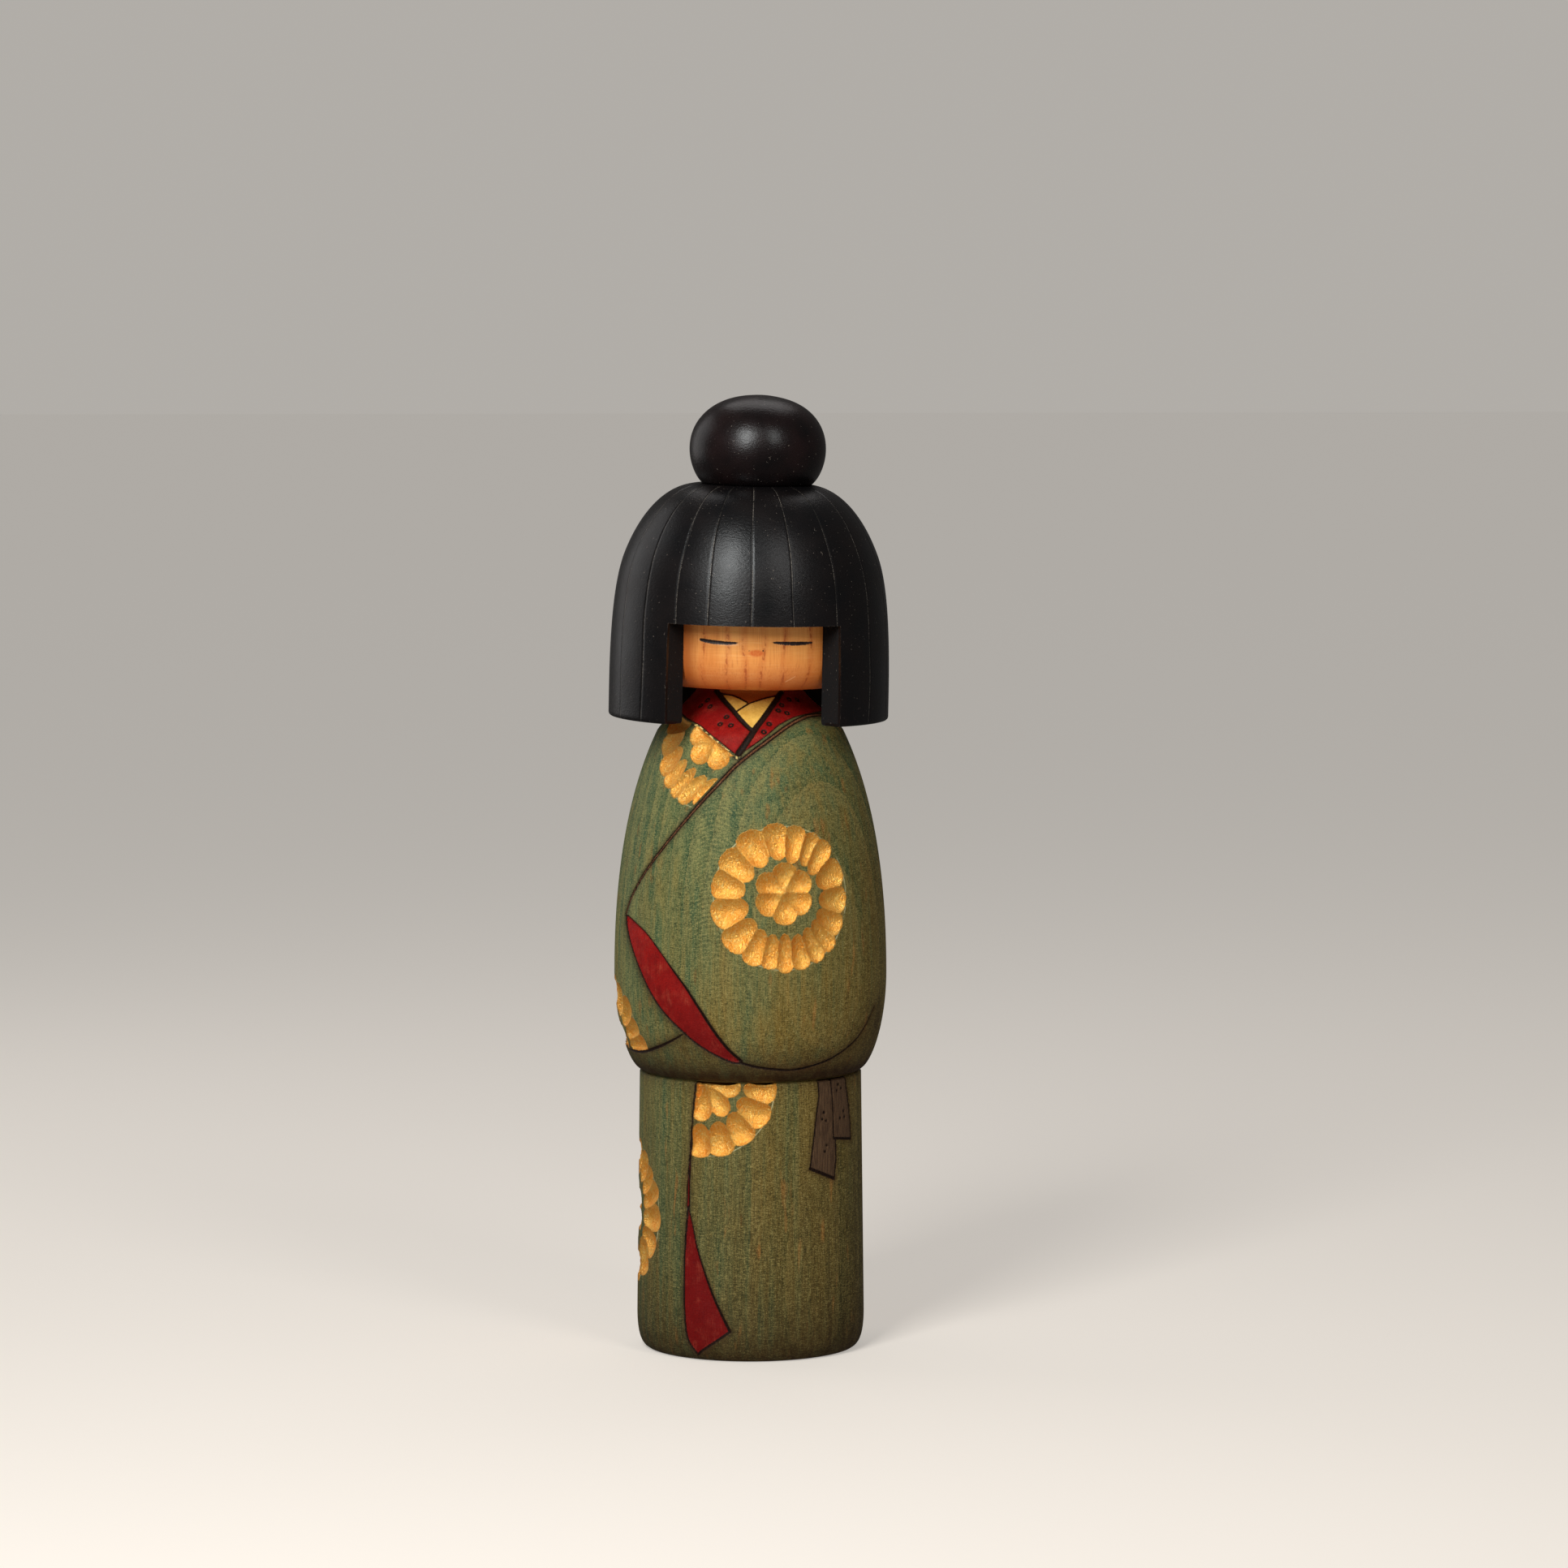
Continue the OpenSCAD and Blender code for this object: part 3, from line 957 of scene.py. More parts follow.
def make_hair():
    """The hollow cap of bobbed hair, cut open for the face, with its strands incised."""
    columns = cap_columns()
    base = np.array([c[0] for c in columns])
    count = len(columns)
    length, place, normal = CAP.length, CAP.place, CAP.normal
    first_fringe = int(np.argmin(np.abs(place[:, 1] - FRINGE_Z)))
    bearing, offset = strand_lines(columns)
    sink = 0.1 * np.clip(1 - (offset / 0.3) ** 2, 0, 1)
    sink *= ease(length, 0.4, 2)[None, :]
    radius = place[:, 0][None, :] - sink * normal[:, 0][None, :]
    height = place[:, 1][None, :] - sink * normal[:, 1][None, :]
    outside = np.stack([radius * np.sin(bearing), -radius * np.cos(bearing), height], -1)

    open_front = np.abs(base) < OPENING - 0.01
    closed_cell = ~(open_front | np.roll(open_front, -1))
    on_edge = np.abs(np.abs(base) - OPENING) < 0.01
    edge_cell = on_edge & np.roll(on_edge, -1)
    closed_cell &= ~edge_cell

    shell = Shell(np.zeros((0, 3)), [], {"strand": [], "wear": [], "cut": []})
    outer = np.full((count, len(length)), -1)
    shown = np.ones((count, len(length)), bool)
    shown[open_front, :first_fringe] = False
    outer[shown] = np.arange(shown.sum())
    shell.points.append(outside[shown])
    shell.count += int(shown.sum())
    shell.fields["strand"].append(offset[shown])
    shell.fields["cut"].append(np.full(int(shown.sum()), FAR))
    shell.fields["wear"].append(edge_wear(base)[shown])
    for j in range(first_fringe, len(length) - 1):
        shell.quads(outer[:, j], outer[:, j + 1], np.ones(count, bool))
    for j in range(first_fringe):
        shell.quads(outer[:, j], outer[:, j + 1], closed_cell)

    heights = place[: first_fringe + 1, 1]
    straight = heights >= CAP_RIM + RIM_ROUND - 1e-6
    rows = np.nonzero(straight)[0]
    turn = np.radians(base)

    def ring(radius, height):
        return shell.add(around(turn, radius, height), cut=0)

    rim = [outer[:, 0]]
    for step in (34.0, 31.5, CAP_BORE + RIM_ROUND):
        rim.append(ring(step, CAP_RIM))
    rim.append(ring(CAP_BORE + 0.25, CAP_RIM + 0.25))
    wall = [ring(CAP_BORE, place[j, 1]) for j in rows]
    inner = rim + wall
    for upper, lower in zip(inner, inner[1:]):
        shell.quads(lower, upper, closed_cell)
    ceiling = [wall[-1], ring(CAP_BORE, 190), ring(CAP_BORE, FACE_TOP)]
    for upper, lower in zip(ceiling, ceiling[1:]):
        shell.band(lower, upper)
    shell.lid(ceiling[-1], up=False)

    across = np.linspace(0, 1, 9)[1:-1]
    fringe_r = place[first_fringe, 0]
    reach = [CAP_BORE + (fringe_r - CAP_BORE) * a for a in across]
    under = [wall[-1]] + [ring(r, FRINGE_Z) for r in reach] + [outer[:, first_fringe]]
    for near, far in zip(under, under[1:]):
        shell.quads(near, far, ~closed_cell)
    for side in (-1, 1):
        c = int(np.argmin(np.abs(base - side * OPENING)))
        walls = []
        for j, row in enumerate(rows[:-1]):
            span = CAP_BORE + (place[row, 0] - CAP_BORE) * across
            points = around(np.full(len(across), turn[c]), span, place[row, 1])
            mids = shell.add(points, cut=0)
            walls.append(np.concatenate([[wall[j][c]], mids, [outer[c, row]]]))
        walls.append(np.array([r[c] for r in under]))
        for low, high in zip(walls, walls[1:]):
            if side < 0:
                shell.band(low[::-1], high[::-1], closed=False)
            else:
                shell.band(low, high, closed=False)
        foot = [outer[c, j] for j in range(rows[0], -1, -1)] + [r[c] for r in rim[1:]]
        foot += [int(i) for i in walls[0][:-1]]
        shell.lid(foot if side > 0 else foot[::-1])
    seat = outer[:, -1]
    shift = (KNOT_SHIFT, 0.0)
    bore(shell, seat, turn, [(12, SEAT_Z), (7, SEAT_Z)])
    shell.faces.pop()
    last = np.arange(shell.count - count, shell.count)
    bore(shell, last, turn, [(PEG_BORE, SEAT_Z), (PEG_BORE, SEAT_Z - 10)], centre=shift)
    drop_unused(shell)
    shell.points = [on_head(np.vstack(shell.points))]
    return shell.mesh("hair", sharp=40)


def drop_unused(shell):
    """Takes out the points that no face uses."""
    used = np.zeros(shell.count, bool)
    for face in shell.faces:
        used[face] = True
    new = np.cumsum(used) - 1
    shell.points = [np.vstack(shell.points)[used]]
    shell.fields = {n: [np.concatenate(v)[used]] for n, v in shell.fields.items()}
    shell.faces = [[int(new[i]) for i in face] for face in shell.faces]
    shell.count = int(used.sum())


KNOT_R = 17.15
KNOT_SHIFT = 1.1
KNOT_H = 22.3
KNOT_MIDDLE = SEAT_Z + 0.4 * KNOT_H
KNOT = Outline(
    [
        [(13.4, SEAT_Z), (13.6, SEAT_Z)],
        joined(
            cubic((13.6, SEAT_Z), (1.9, 1.6), (0, -4), (KNOT_R, KNOT_MIDDLE)),
            cubic((KNOT_R, KNOT_MIDDLE), (0, 7.2), (10.5, -0.2), (0.9, SEAT_Z + KNOT_H)),
        ),
    ],
    cell=0.8,
)


def carve_knot(spot):
    """Slight flats and hollows that sanding by hand left on the bun."""
    turn, up = spot.bearing, spot.length / 9
    wave = np.sin(3 * turn + 1.3 * up) * np.sin(1.7 * up + 0.6)
    wave += 0.6 * np.sin(5 * turn - 2.1 * up + 1)
    fade = ease(spot.length, 1, 6) * (1 - ease(spot.length, 29, 36))
    fields = {"sink": fade * 0.05 * (wave + 1.6), "strand": np.full(turn.shape, FAR)}
    fields["detail"] = np.full(turn.shape, FAR)
    return fields


def make_bun():
    """The topknot, bored for its dowel."""
    shell, (bottom, top), bearing = turned(KNOT, 150, carve_knot, reach=-1)
    crown = SEAT_Z + KNOT_H
    bore(shell, top, bearing, [(0.5, crown), (0.25, crown)])
    rings = [(9, SEAT_Z), (3.25, SEAT_Z), (PEG_BORE, SEAT_Z + 0.25), (PEG_BORE, SEAT_Z + 11)]
    bore(shell, bottom, bearing, rings, up=False)
    points = np.vstack(shell.points) + [KNOT_SHIFT, 0, 0]
    shell.points = [on_head(points)]
    return shell.mesh("bun")


# ---------------------------------------------------------------- materials

def srgb(red, green, blue):
    """Linear colour of an sRGB colour given as 0 to 255."""
    values = [v / 255 for v in (red, green, blue)]
    return tuple(v / 12.92 if v <= 0.04045 else ((v + 0.055) / 1.055) ** 2.4 for v in values)


class Finish:
    """A material's nodes, with a short call for each kind that the doll's finishes use."""

    def __init__(self, name):
        self.material = bpy.data.materials.new(name)
        self.material.use_nodes = True
        self.tree = self.material.node_tree
        self.tree.nodes.clear()
        self.out = self.node("OutputMaterial")
        where = self.node("TexCoord").outputs["Object"]
        self.place = self.vector("MULTIPLY", where, (1 / MM,) * 3)

    def feed(self, socket, value):
        """Links a socket, or sets a plain value."""
        if isinstance(value, bpy.types.NodeSocket):
            self.tree.links.new(value, socket)
        elif isinstance(value, tuple) and len(value) == 3 and socket.type == "RGBA":
            socket.default_value = (*value, 1)
        else:
            socket.default_value = value

    def node(self, kind, inputs=None, **settings):
        """A new node with its settings made and its inputs fed. An input of None is left."""
        node = self.tree.nodes.new("ShaderNode" + kind)
        for name, setting in settings.items():
            setattr(node, name, setting)
        for socket, value in (inputs or {}).items():
            if value is not None:
                self.feed(node.inputs[socket], value)
        return node

    def vector(self, operation, vector, by, result="Vector"):
        """A vector stretched, moved or measured by a fixed one."""
        return self.node("VectorMath", {0: vector, 1: by}, operation=operation).outputs[result]

    def toward(self, direction):
        """How far a place is along a direction, in millimetres."""
        return self.vector("DOT_PRODUCT", self.place, direction, "Value")

    def field(self, name):
        """One of the piece's painted fields."""
        return self.node("Attribute", attribute_name=name).outputs["Fac"]

    def noise(self, scale=(1, 1, 1), detail=3.0, rough=0.55, warp=0.0, shift=(0, 0, 0)):
        """Noise, about 0.5, whose lumps are as long as 1 / scale millimetres along each axis."""
        return self.node("TexNoise", {
            "Vector": self.vector("ADD", self.vector("MULTIPLY", self.place, scale), shift),
            "Scale": 1,
            "Detail": detail,
            "Roughness": rough,
            "Distortion": warp,
        }).outputs["Fac"]

    def math(self, operation, a, b=0.0):
        """A sum of two values, or another operation."""
        return self.node("Math", {0: a, 1: b}, operation=operation).outputs[0]

    def ramp(self, value, low, high, start=0.0, end=1.0):
        """Goes from start to end while value goes from low to high."""
        return self.node("MapRange", {
            "Value": value, "From Min": low, "From Max": high, "To Min": start, "To Max": end,
        }).outputs["Result"]

    def mix(self, share, first, second):
        """A colour between two others."""
        return self.node("Mix", {0: share, 6: first, 7: second}, data_type="RGBA").outputs[2]

    def bump(self, height, depth, under=None):
        """A normal bent by a height, whose full range is depth millimetres."""
        return self.node("Bump", {
            "Strength": 1, "Distance": depth * MM, "Height": height, "Normal": under,
        }).outputs["Normal"]

    def surface(self, colour, roughness, normal=None, metallic=0.0, specular=0.5, coat=0.0):
        """Ends the material with its shader."""
        node = self.node("BsdfPrincipled", {
            "Base Color": colour,
            "Roughness": roughness,
            "Metallic": metallic,
            "Specular IOR Level": specular,
            "Coat Weight": coat,
            "Coat Roughness": 0.3,
            "Normal": normal,
        })
        self.tree.links.new(node.outputs[0], self.out.inputs["Surface"])
        return self.material

    def times(self, *values):
        """The product of several values."""
        product = values[0]
        for value in values[1:]:
            product = self.math("MULTIPLY", product, value)
        return product

    def inside(self, field, soft=0.05, at=0.0):
        """1 where a painted field is below a value, 0 above it."""
        return self.ramp(field, at + soft, at - soft)


def stained_wood():
    """Green-stained wood with burnt lines, red and yellow paint, and gilded gouge cuts."""
    f = Finish("kimono_wood")
    fibre = f.noise((3.8, 3.8, 0.27), detail=2, rough=0.6)
    streak = f.noise((0.55, 0.55, 0.018), detail=3, rough=0.6, warp=0.3, shift=(9, 2, 4))
    speck = f.noise((4.0, 4.0, 4.0), detail=2, rough=0.7)
    height = f.toward((0, 0, 1))
    across = f.toward((1, 0, 0))

    colour = f.mix(f.ramp(streak, 0.32, 0.62), srgb(62, 95, 65), srgb(120, 128, 80))
    cloud = f.noise((0.09, 0.09, 0.02), detail=3, rough=0.5, shift=(3, 7, 1))
    # Olive-brown towards the right and lower down: partly the stain's own tone, partly a painted
    # warm reflection and painted shade on the right-hand side.
    warm = f.math("ADD", f.ramp(cloud, 0.36, 0.64, -0.3, 0.3), f.ramp(across, -32, 34, -0.28, 0.66))
    warm = f.math("ADD", warm, f.ramp(height, 150, 80, -0.2, 0.45))
    warm = f.math("ADD", warm, f.ramp(streak, 0.35, 0.65, -0.26, 0.26))
    colour = f.mix(f.ramp(warm, 0.0, 1.0), colour, srgb(128, 104, 44))
    # Darker brown lower down and on the right-hand side: partly the stain's own tone, partly
    # painted shade where less light falls.
    stain_and_shade_right_and_low = f.math("ADD", f.ramp(height, 96, 30, 0, 0.56), f.ramp(across, 6, 34, 0, 0.44))
    stain_and_shade_right_and_low = f.times(stain_and_shade_right_and_low, f.ramp(streak, 0.34, 0.66, 0.66, 1.22))
    colour = f.mix(stain_and_shade_right_and_low, colour, srgb(62, 50, 20))
    rubbed = f.noise((0.42, 0.42, 0.085), detail=2, rough=0.5, shift=(7, 3, 9))
    colour = f.mix(f.ramp(rubbed, 0.64, 0.73, 0, 0.6), colour, srgb(158, 104, 46))
    colour = growth_rings(f, colour, fibre, height)
    colour, chatter = weave(f, colour, fibre, speck, height)
    # Brown towards the hem and the foot: partly stain, partly painted shade and shadow round the
    # hem.
    colour = f.mix(stain_and_shade_by_hem_and_foot(f, height, streak), colour, srgb(44, 24, 8))

    dark = f.field("dark")
    soot = f.math("POWER", f.ramp(dark, 1.9, 0.0, 0, 1), 2.0)
    colour = f.mix(f.times(soot, f.ramp(speck, 0.3, 0.7, 0.3, 0.7)), colour, srgb(58, 34, 18))
    scribe = f.inside(f.field("scribe"), 0.08, 0.13)
    broken = f.ramp(f.noise((0.25, 0.25, 0.25), detail=2), 0.4, 0.5, 0.15, 0.9)
    colour = f.mix(f.times(scribe, broken), colour, srgb(200, 196, 150))
    colour = painted(f, colour, fibre, speck, height)

    char = f.mix(f.ramp(speck, 0.45, 0.75), srgb(20, 11, 7), srgb(60, 36, 24))
    edge = f.math("ADD", dark, f.ramp(speck, 0.3, 0.7, -0.07, 0.07))
    colour = f.mix(f.inside(edge, 0.09), colour, char)
    flake = f.noise((2.6, 2.6, 1.5), detail=2, rough=0.65, warp=0.7)
    scrap = f.ramp(f.noise((0.8, 0.8, 0.8), detail=2, shift=(3, 3, 8)), 0.46, 0.52)
    worn = f.times(f.inside(f.field("worn"), 0.1, 0.34), scrap)
    colour = f.mix(worn, colour, srgb(240, 212, 136))

    leaf = f.math("ADD", f.field("gold"), f.ramp(flake, 0.3, 0.7, -0.1, 0.1))
    gilt = f.inside(leaf, 0.06)
    colour = f.mix(gilt, colour, gold_leaf(f, flake))
    relief = f.bump(fibre, 0.13)
    relief = f.bump(chatter, 0.12, relief)
    relief = f.bump(f.times(flake, gilt), 0.26, relief)
    rough = f.math("SUBTRACT", f.ramp(speck, 0.3, 0.7, 0.46, 0.62), f.times(gilt, 0.19))
    return f.surface(colour, rough, relief, metallic=f.times(gilt, 0.66), specular=0.17)


def growth_rings(f, colour, fibre, height):
    """Dark late wood outside each growth ring's edge and pale early wood inside it."""
    way = (math.sin(math.radians(GRAIN_WAY)), -math.cos(math.radians(GRAIN_WAY)), 0.0)
    bend = f.noise((0.035, 0.035, 0.02), detail=1, rough=0.4, shift=(1, 5, 2))
    depth = f.math("ADD", f.toward(way), f.ramp(bend, 0.3, 0.7, -0.5, 0.5))
    depth = f.math("ADD", depth, f.ramp(fibre, 0.3, 0.7, -0.12, 0.12))
    ring = f.math("FRACT", f.times(f.math("SUBTRACT", depth, GRAIN_EDGE), 1 / GRAIN_STEP))
    early = f.math("POWER", f.math("SUBTRACT", 1.0, ring), 3.0)
    high = f.ramp(height, 100, 125, 0.5, 1)
    colour = f.mix(f.times(early, high, 0.32), colour, srgb(150, 134, 80))
    colour = f.mix(f.times(f.math("POWER", ring, 3.5), high, 0.42), colour, srgb(46, 76, 46))
    thin = f.math("FRACT", f.times(depth, 1 / 0.62))
    return f.mix(f.times(f.ramp(thin, 0.5, 1.0), 0.14), colour, srgb(40, 62, 42))


def weave(f, colour, fibre, speck, height):
    """Fine pale and dark specks where upright fibres cross the marks of the lathe."""
    chatter = f.noise((0.9, 0.9, 4.0), detail=2, rough=0.65, warp=0.4)
    beside = f.toward((math.cos(ARC_WAY), math.sin(ARC_WAY), 0.0))
    arc = f.math("ADD", height, f.times(f.math("POWER", f.math("ABSOLUTE", beside), 2.0), 0.09))
    arc = f.math("SINE", f.times(arc, 2 * math.pi / 1.15))
    there = f.times(f.ramp(f.math("ABSOLUTE", beside), 10, 3), f.ramp(height, 96, 112))
    there = f.times(there, f.ramp(height, 147, 137), f.ramp(speck, 0.4, 0.6))
    mesh = f.math("ADD", f.times(fibre, 0.23), f.times(chatter, 0.31))
    mesh = f.math("ADD", mesh, f.times(speck, 0.46))
    mesh = f.math("ADD", mesh, f.times(arc, there, 0.05))
    colour = f.mix(f.ramp(mesh, 0.5, 0.63, 0, 0.58), colour, srgb(178, 165, 104))
    colour = f.mix(f.ramp(mesh, 0.5, 0.38, 0, 0.8), colour, srgb(22, 32, 18))
    return colour, chatter


def gold_leaf(f, flake):
    """Gold paint in patches of tone, with painted glints on its grains, painted shade in the
    hollows of the grain and along the ridges where cuts meet, and darker orange just inside its
    edges.
    """
    patch = f.noise((0.3, 0.3, 0.3), detail=3, rough=0.6, shift=(4, 4, 4))
    gold = f.mix(f.ramp(patch, 0.32, 0.68), srgb(255, 172, 68), srgb(255, 198, 94))
    # Painted glints on the raised grains.
    gold = f.mix(f.ramp(flake, 0.52, 0.68, 0, 0.7), gold, srgb(255, 232, 150))
    # Painted shade in the hollows of the grain.
    gold = f.mix(f.ramp(flake, 0.46, 0.34, 0, 0.28), gold, srgb(206, 112, 36))
    # Painted shade along the ridges where two cuts meet.
    crease = f.math("POWER", f.ramp(f.field("crease"), 0.3, 0.0, 0, 1), 1.5)
    gold = f.mix(f.times(crease, 0.22), gold, srgb(190, 98, 30))
    return f.mix(f.ramp(f.field("gold"), -0.35, 0.0, 0, 0.3), gold, srgb(190, 100, 32))


def stain_and_shade_by_hem_and_foot(f, height, streak):
    """How brown the wood is over and below the folds above the hem, under the hem and at the foot:
    partly brown stain, partly painted shade on the kimono's downward-facing underside and a painted
    shadow on the skirt just under the hem, and darker towards the foot.
    """
    fold = f.field("fold")
    below_fold = f.ramp(fold, 0.4, -0.4, 0, 0.38)
    over_fold = f.times(f.math("POWER", f.ramp(fold, 7.0, 0.0, 0, 1), 1.8), 0.45)
    over_hem = f.times(f.math("POWER", f.ramp(height, 83, 72, 0, 1), 1.3), 0.93)
    over_hem = f.times(over_hem, f.math("GREATER_THAN", height, HEM_EDGE))
    # Painted shadow on the skirt under the hem's overhang.
    shadow_under_hem = f.math("POWER", f.ramp(height, 61, 70.4, 0, 1), 4.0)
    shadow_under_hem = f.times(shadow_under_hem, f.math("LESS_THAN", height, HEM_EDGE), 0.5)
    foot = f.times(f.math("POWER", f.ramp(height, 28, 0), 1.8), 0.8)
    share = f.math("MAXIMUM", f.math("MAXIMUM", below_fold, over_fold), over_hem)
    share = f.math("ADD", f.math("MAXIMUM", share, shadow_under_hem), foot)
    share = f.times(share, f.ramp(streak, 0.25, 0.7, 0.8, 1.1))
    return f.math("MINIMUM", share, 0.93)


def painted(f, colour, fibre, speck, height):
    """Red collar and linings, yellow under-collar, bare neck, sash and overlap."""
    shade = f.noise((0.5, 0.5, 0.35), detail=4, rough=0.65)
    red = f.mix(f.ramp(shade, 0.3, 0.7), srgb(128, 4, 4), srgb(164, 20, 14))
    # Deeper red lower down on the linings: painted shade.
    red = f.mix(f.ramp(height, 108, 78, 0, 0.75), red, srgb(100, 0, 2))
    # Darker red high on the collar, under the chin and the hair: painted shade.
    red = f.mix(f.ramp(height, 157.5, 164, 0, 0.65), red, srgb(86, 6, 10))
    thin = f.ramp(f.noise((0.22, 0.22, 0.22), detail=4, rough=0.6, shift=(8, 1, 1)), 0.5, 0.75)
    red = f.mix(f.times(thin, f.ramp(fibre, 0.4, 0.6), 0.5), red, srgb(184, 84, 62))
    red = f.mix(f.ramp(speck, 0.62, 0.74, 0, 0.3), red, srgb(190, 74, 54))
    red = f.mix(f.ramp(speck, 0.46, 0.34, 0, 0.4), red, srgb(76, 2, 4))
    colour = f.mix(f.inside(f.field("red"), 0.07), colour, red)
    yellow = f.mix(f.ramp(shade, 0.35, 0.65), srgb(224, 174, 74), srgb(248, 204, 102))
    colour = f.mix(f.inside(f.field("yellow"), 0.06), colour, yellow)
    # Bare neck in dark brown-orange: partly the wood's own tone, partly painted shadow under the
    # chin.
    colour = f.mix(f.inside(f.field("skin"), 0.06), colour, srgb(166, 84, 28))
    cloth = f.mix(f.ramp(fibre, 0.38, 0.62), srgb(68, 50, 36), srgb(96, 73, 52))
    colour = f.mix(f.inside(f.field("sash"), 0.06), colour, cloth)
    core = f.mix(f.ramp(speck, 0.4, 0.65), srgb(84, 44, 28), srgb(150, 104, 70))
    return f.mix(f.inside(f.field("core"), 0.06), colour, core)


def face_wood():
    """Bare varnished wood with lines of reddish pores, ink eyes and an orange nose."""
    f = Finish("face_wood")
    fibre = f.noise((3.4, 3.4, 0.1), detail=4, rough=0.65)
    broad = f.noise((0.3, 0.3, 0.03), detail=3, rough=0.5, shift=(2, 8, 3))
    speckle = f.noise((2.4, 2.4, 0.9), detail=3, rough=0.7)
    lathe = f.noise((0.12, 0.12, 3.2), detail=3, rough=0.65)
    height = f.toward((0, 0, 1))
    across = f.toward((1, 0, 0))
    colour = f.mix(f.ramp(broad, 0.35, 0.65), srgb(234, 152, 74), srgb(244, 170, 90))
    colour = f.mix(f.ramp(fibre, 0.5, 0.68, 0, 0.55), colour, srgb(200, 108, 44))
    colour = f.mix(f.ramp(lathe, 0.52, 0.7, 0, 0.24), colour, srgb(255, 208, 136))
    # Darker orange-red towards the chin: partly the wood's own tone, partly painted shade and a
    # painted warm reflection on the chin's downward-facing curve.
    low = f.math("POWER", f.ramp(height, 178, 167.5, 0, 1), 1.5)
    colour = f.mix(f.times(low, 0.9), colour, srgb(196, 82, 22))
    # Painted shadow of the hair's fringe over the top of the face.
    high = f.ramp(height, 180.5, 184.6, 0, 0.3)
    colour = f.mix(high, colour, srgb(176, 108, 58))
    # Painted shadow of the cap's cut walls on both sides of the face, heavier on the left.
    aside = f.math("ABSOLUTE", f.math("SUBTRACT", across, 1.3))
    side = f.math("POWER", f.ramp(aside, 9, 19, 0, 1), 1.6)
    colour = f.mix(f.times(side, 0.45), colour, srgb(196, 92, 34))
    colour = f.mix(f.ramp(aside, 14.6, 17.4, 0, 0.6), colour, srgb(150, 70, 26))
    dash = f.noise((1.4, 1.4, 0.9), detail=4, rough=0.75, shift=(6, 1, 9))
    streak = f.times(f.inside(f.field("pores"), 0.6, 0.6), f.ramp(dash, 0.3, 0.55, 0.15, 0.5))
    colour = f.mix(streak, colour, srgb(198, 92, 36))
    pores = f.times(f.inside(f.field("pores"), 0.14, 0.32), f.ramp(dash, 0.44, 0.56, 0, 0.62))
    colour = f.mix(pores, colour, srgb(156, 60, 20))
    blush = f.times(f.inside(f.field("nose"), 0.22, 0.85), f.ramp(speckle, 0.25, 0.6, 0.35, 0.85))
    colour = f.mix(blush, colour, srgb(210, 92, 30))
    ink = f.inside(f.math("ADD", f.field("ink"), f.ramp(speckle, 0.3, 0.7, -0.1, 0.1)), 0.07)
    ink_colour = f.mix(f.ramp(speckle, 0.5, 0.75), srgb(34, 22, 18), srgb(86, 64, 56))
    colour = f.mix(ink, colour, ink_colour)
    colour = f.mix(f.times(f.inside(f.field("nick"), 0.05, 0.12), 0.6), colour, srgb(246, 196, 140))
    relief = f.bump(fibre, 0.05)
    relief = f.bump(lathe, 0.04, relief)
    rough = f.ramp(speckle, 0.3, 0.7, 0.36, 0.48)
    return f.surface(colour, rough, relief, specular=0.35, coat=0.12)


def lacquer(name, tone, warm, rough, peel, dust, cut_ends=False):
    """Black lacquer over wood: fine orange peel and dusty incised strands.

    A piece with cut ends also has rubbed edges, and its cut faces are matt."""
    f = Finish(name)
    peel_noise = f.noise((1.3, 1.3, 2.2), detail=3, rough=0.6)
    broad = f.noise((0.12, 0.12, 0.12), detail=3, rough=0.5)
    grit = f.noise((2.8, 2.8, 2.8), detail=4, rough=0.7, shift=(5, 5, 5))
    fleck = f.noise((1.7, 1.7, 1.7), detail=2, rough=0.5, shift=(2, 9, 2))
    colour = f.mix(f.ramp(broad, 0.3, 0.7), tone, warm)
    colour = f.mix(f.ramp(fleck, 0.71, 0.74, 0, 0.55), colour, srgb(120, 112, 104))
    strand = f.field("strand")
    # Darker inside the incised strands: painted shade in the grooves.
    groove = f.inside(strand, 0.08, 0.16)
    colour = f.mix(f.times(groove, 0.6), colour, srgb(8, 7, 7))
    thread = f.inside(strand, 0.06, 0.07)
    broken = f.times(f.ramp(grit, 0.4, 0.56), f.ramp(broad, 0.4, 0.6, 0.2, 1))
    colour = f.mix(f.times(thread, broken, dust), colour, srgb(138, 132, 124))
    relief = f.bump(peel_noise, peel)
    roughness = f.ramp(broad, 0.3, 0.7, rough - 0.04, rough + 0.05)
    if cut_ends:
        wear = f.math("ADD", f.field("wear"), f.ramp(grit, 0.3, 0.75, 0.25, -0.25))
        rubbed = f.times(f.inside(wear, 0.08, 0.05), f.ramp(fleck, 0.42, 0.62, 0, 0.55))
        colour = f.mix(rubbed, colour, srgb(104, 92, 84))
        matt = f.times(f.inside(f.field("cut"), 0.5, 1.0), 0.85)
        roughness = f.math("MAXIMUM", roughness, matt)
    lacquered = f.surface(colour, roughness, relief, specular=0.36)
    shader = f.tree.nodes["Principled BSDF"]
    shader.inputs["Specular Tint"].default_value = (0.9, 0.96, 1.0, 1.0)
    return lacquered


def dowel_wood():
    """Pale unfinished dowel with fibre along its length."""
    f = Finish("dowel_wood")
    fibre = f.noise((3, 3, 0.08), detail=4, rough=0.6)
    colour = f.mix(f.ramp(fibre, 0.35, 0.65), srgb(196, 156, 104), srgb(224, 190, 140))
    return f.surface(colour, 0.7, f.bump(fibre, 0.08))


# ---------------------------------------------------------------- stage

# How strongly the floor glows: as light on the doll, and as the camera sees it.
FLOOR_GLOW = 0.26
FLOOR_SEEN = 0.5
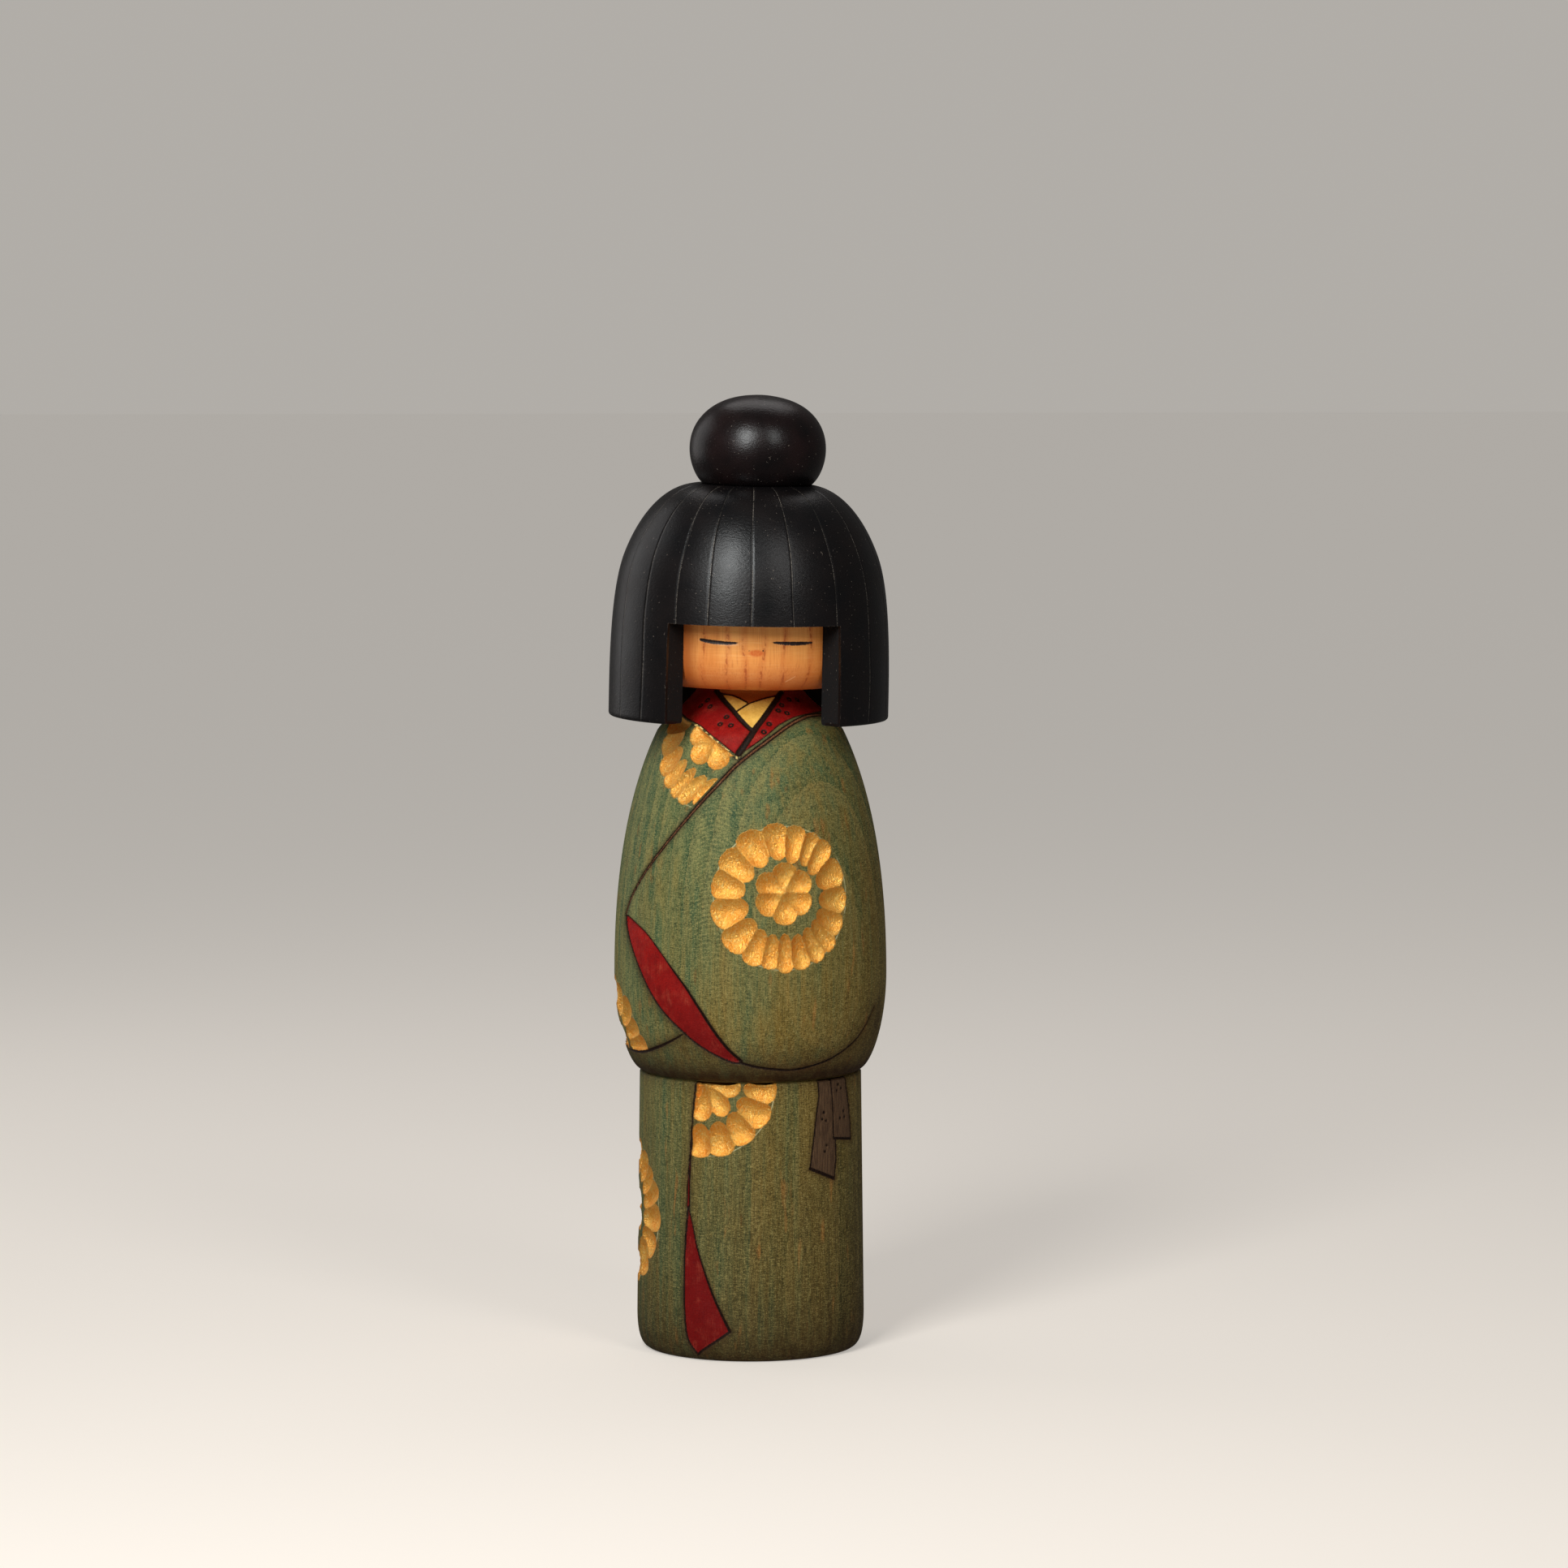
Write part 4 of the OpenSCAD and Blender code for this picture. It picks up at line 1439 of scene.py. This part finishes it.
# The surroundings that the camera sees, to match the far floor.
BACK_SEEN = 0.58
# The camera: bearing and dip of its view, distance and aim in metres, and lens in millimetres.
CAMERA_AZIMUTH = math.radians(-2.4)
CAMERA_PITCH = math.asin(0.0945)
CAMERA_DISTANCE = 1.678
AIM_HEIGHT = 0.1423
AIM_ASIDE = 0.00846
SENSOR = 36
LENS = 153.354


def backward(azimuth, elevation):
    """Direction from a target to what looks at it, for angles in radians."""
    level = math.cos(elevation)
    return Vector((math.sin(azimuth) * level, -math.cos(azimuth) * level, math.sin(elevation)))


def make_floor():
    """A plain pale floor."""
    mesh = bpy.data.meshes.new("floor")
    half = 6.0
    corners = [(-half, -half, 0), (half, -half, 0), (half, half, 0), (-half, half, 0)]
    mesh.from_pydata(corners, [], [(0, 1, 2, 3)])
    floor = bpy.data.objects.new("floor", mesh)
    bpy.context.collection.objects.link(floor)
    f = Finish("floor_paper")
    paper = f.surface(srgb(206, 201, 194), 0.9)
    shader = paper.node_tree.nodes["Principled BSDF"]
    shader.inputs["Emission Color"].default_value = (*srgb(226, 221, 214), 1)
    seen = f.tree.nodes.new("ShaderNodeLightPath").outputs["Is Camera Ray"]
    f.feed(shader.inputs["Emission Strength"], f.ramp(seen, 0, 1, FLOOR_GLOW, FLOOR_SEEN))
    mesh.materials.append(paper)
    floor.visible_glossy = False
    floor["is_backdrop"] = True


def make_light(name, azimuth, elevation, distance, size, power, colour, aim):
    """A softbox that faces a point."""
    data = bpy.data.lights.new(name, "AREA")
    data.shape = "RECTANGLE"
    data.size, data.size_y = size
    data.energy = power
    data.color = colour
    lamp = bpy.data.objects.new(name, data)
    bpy.context.collection.objects.link(lamp)
    back = backward(math.radians(azimuth), math.radians(elevation))
    lamp.location = aim + back * distance
    lamp.rotation_euler = (-back).to_track_quat("-Z", "Y").to_euler()
    lamp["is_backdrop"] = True


def make_world():
    """Pale surroundings that light the doll weakly."""
    world = bpy.data.worlds.new("studio")
    bpy.context.scene.world = world
    world.use_nodes = True
    nodes, links = world.node_tree.nodes, world.node_tree.links
    nodes.clear()
    out = nodes.new("ShaderNodeOutputWorld")
    seen = nodes.new("ShaderNodeBackground")
    seen.inputs["Color"].default_value = (*srgb(226, 221, 214), 1)
    seen.inputs["Strength"].default_value = BACK_SEEN
    light = nodes.new("ShaderNodeBackground")
    light.inputs["Color"].default_value = (0.9, 0.86, 0.82, 1)
    light.inputs["Strength"].default_value = 0.08
    path = nodes.new("ShaderNodeLightPath")
    mix = nodes.new("ShaderNodeMixShader")
    links.new(path.outputs["Is Camera Ray"], mix.inputs[0])
    links.new(light.outputs[0], mix.inputs[1])
    links.new(seen.outputs[0], mix.inputs[2])
    links.new(mix.outputs[0], out.inputs[0])


def make_camera():
    """The camera, a long lens a little above and to the left of the doll's front."""
    azimuth = CAMERA_AZIMUTH
    right = Vector((math.cos(azimuth), math.sin(azimuth), 0))
    back = backward(azimuth, CAMERA_PITCH)
    data = bpy.data.cameras.new("camera")
    data.sensor_width = SENSOR
    data.lens = LENS
    camera = bpy.data.objects.new("camera", data)
    bpy.context.collection.objects.link(camera)
    camera.location = Vector((0, 0, AIM_HEIGHT)) + right * AIM_ASIDE + back * CAMERA_DISTANCE
    camera.rotation_euler = (-back).to_track_quat("-Z", "Y").to_euler()
    bpy.context.scene.camera = camera


def dress(piece, material, node, body):
    """Gives a piece its material and body, and hides the CAD node that it stands in for."""
    piece.data.materials.clear()
    piece.data.materials.append(material)
    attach(piece, body)
    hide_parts(node)


make_camera()
make_floor()
make_world()
chest = Vector((0, 0, 0.15))
make_light("key", -24, 34, 0.75, (0.22, 0.42), 4.4, (1.0, 0.97, 0.93), chest)
make_light("fill", 29, 34, 0.8, (0.2, 0.42), 1.15, (1.0, 0.95, 0.9), chest)
make_light("rim", -122, 18, 0.7, (0.5, 0.6), 0.75, (1.0, 0.96, 0.94), chest)
make_light("top", 175, 58, 0.8, (0.6, 0.4), 0.9, (1.0, 0.95, 0.93), chest)

stained = stained_wood()
dress(make_kimono(), stained, "body", "body")
dress(make_skirt(), stained, "body", "body")
dress(make_face(), face_wood(), "head_core", "head")
cap_finish = lacquer("hair_lacquer", srgb(11, 11, 13), srgb(18, 13, 13), 0.34, 0.055, 0.75, True)
dress(make_hair(), cap_finish, "hair_cap", "head")
bun_finish = lacquer("topknot_lacquer", srgb(12, 9, 10), srgb(27, 15, 15), 0.3, 0.06, 0.0)
dress(make_bun(), bun_finish, "topknot", "head")
pale = dowel_wood()
for name in ("neck_dowel", "topknot_dowel"):
    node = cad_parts[name]
    node.data.materials.clear()
    node.data.materials.append(pale)

bpy.context.scene.view_settings.view_transform = "Standard"

boxes = {"cad": cad_box, "visual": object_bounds()}
{name: [list(corner) for corner in box] for name, box in boxes.items()}
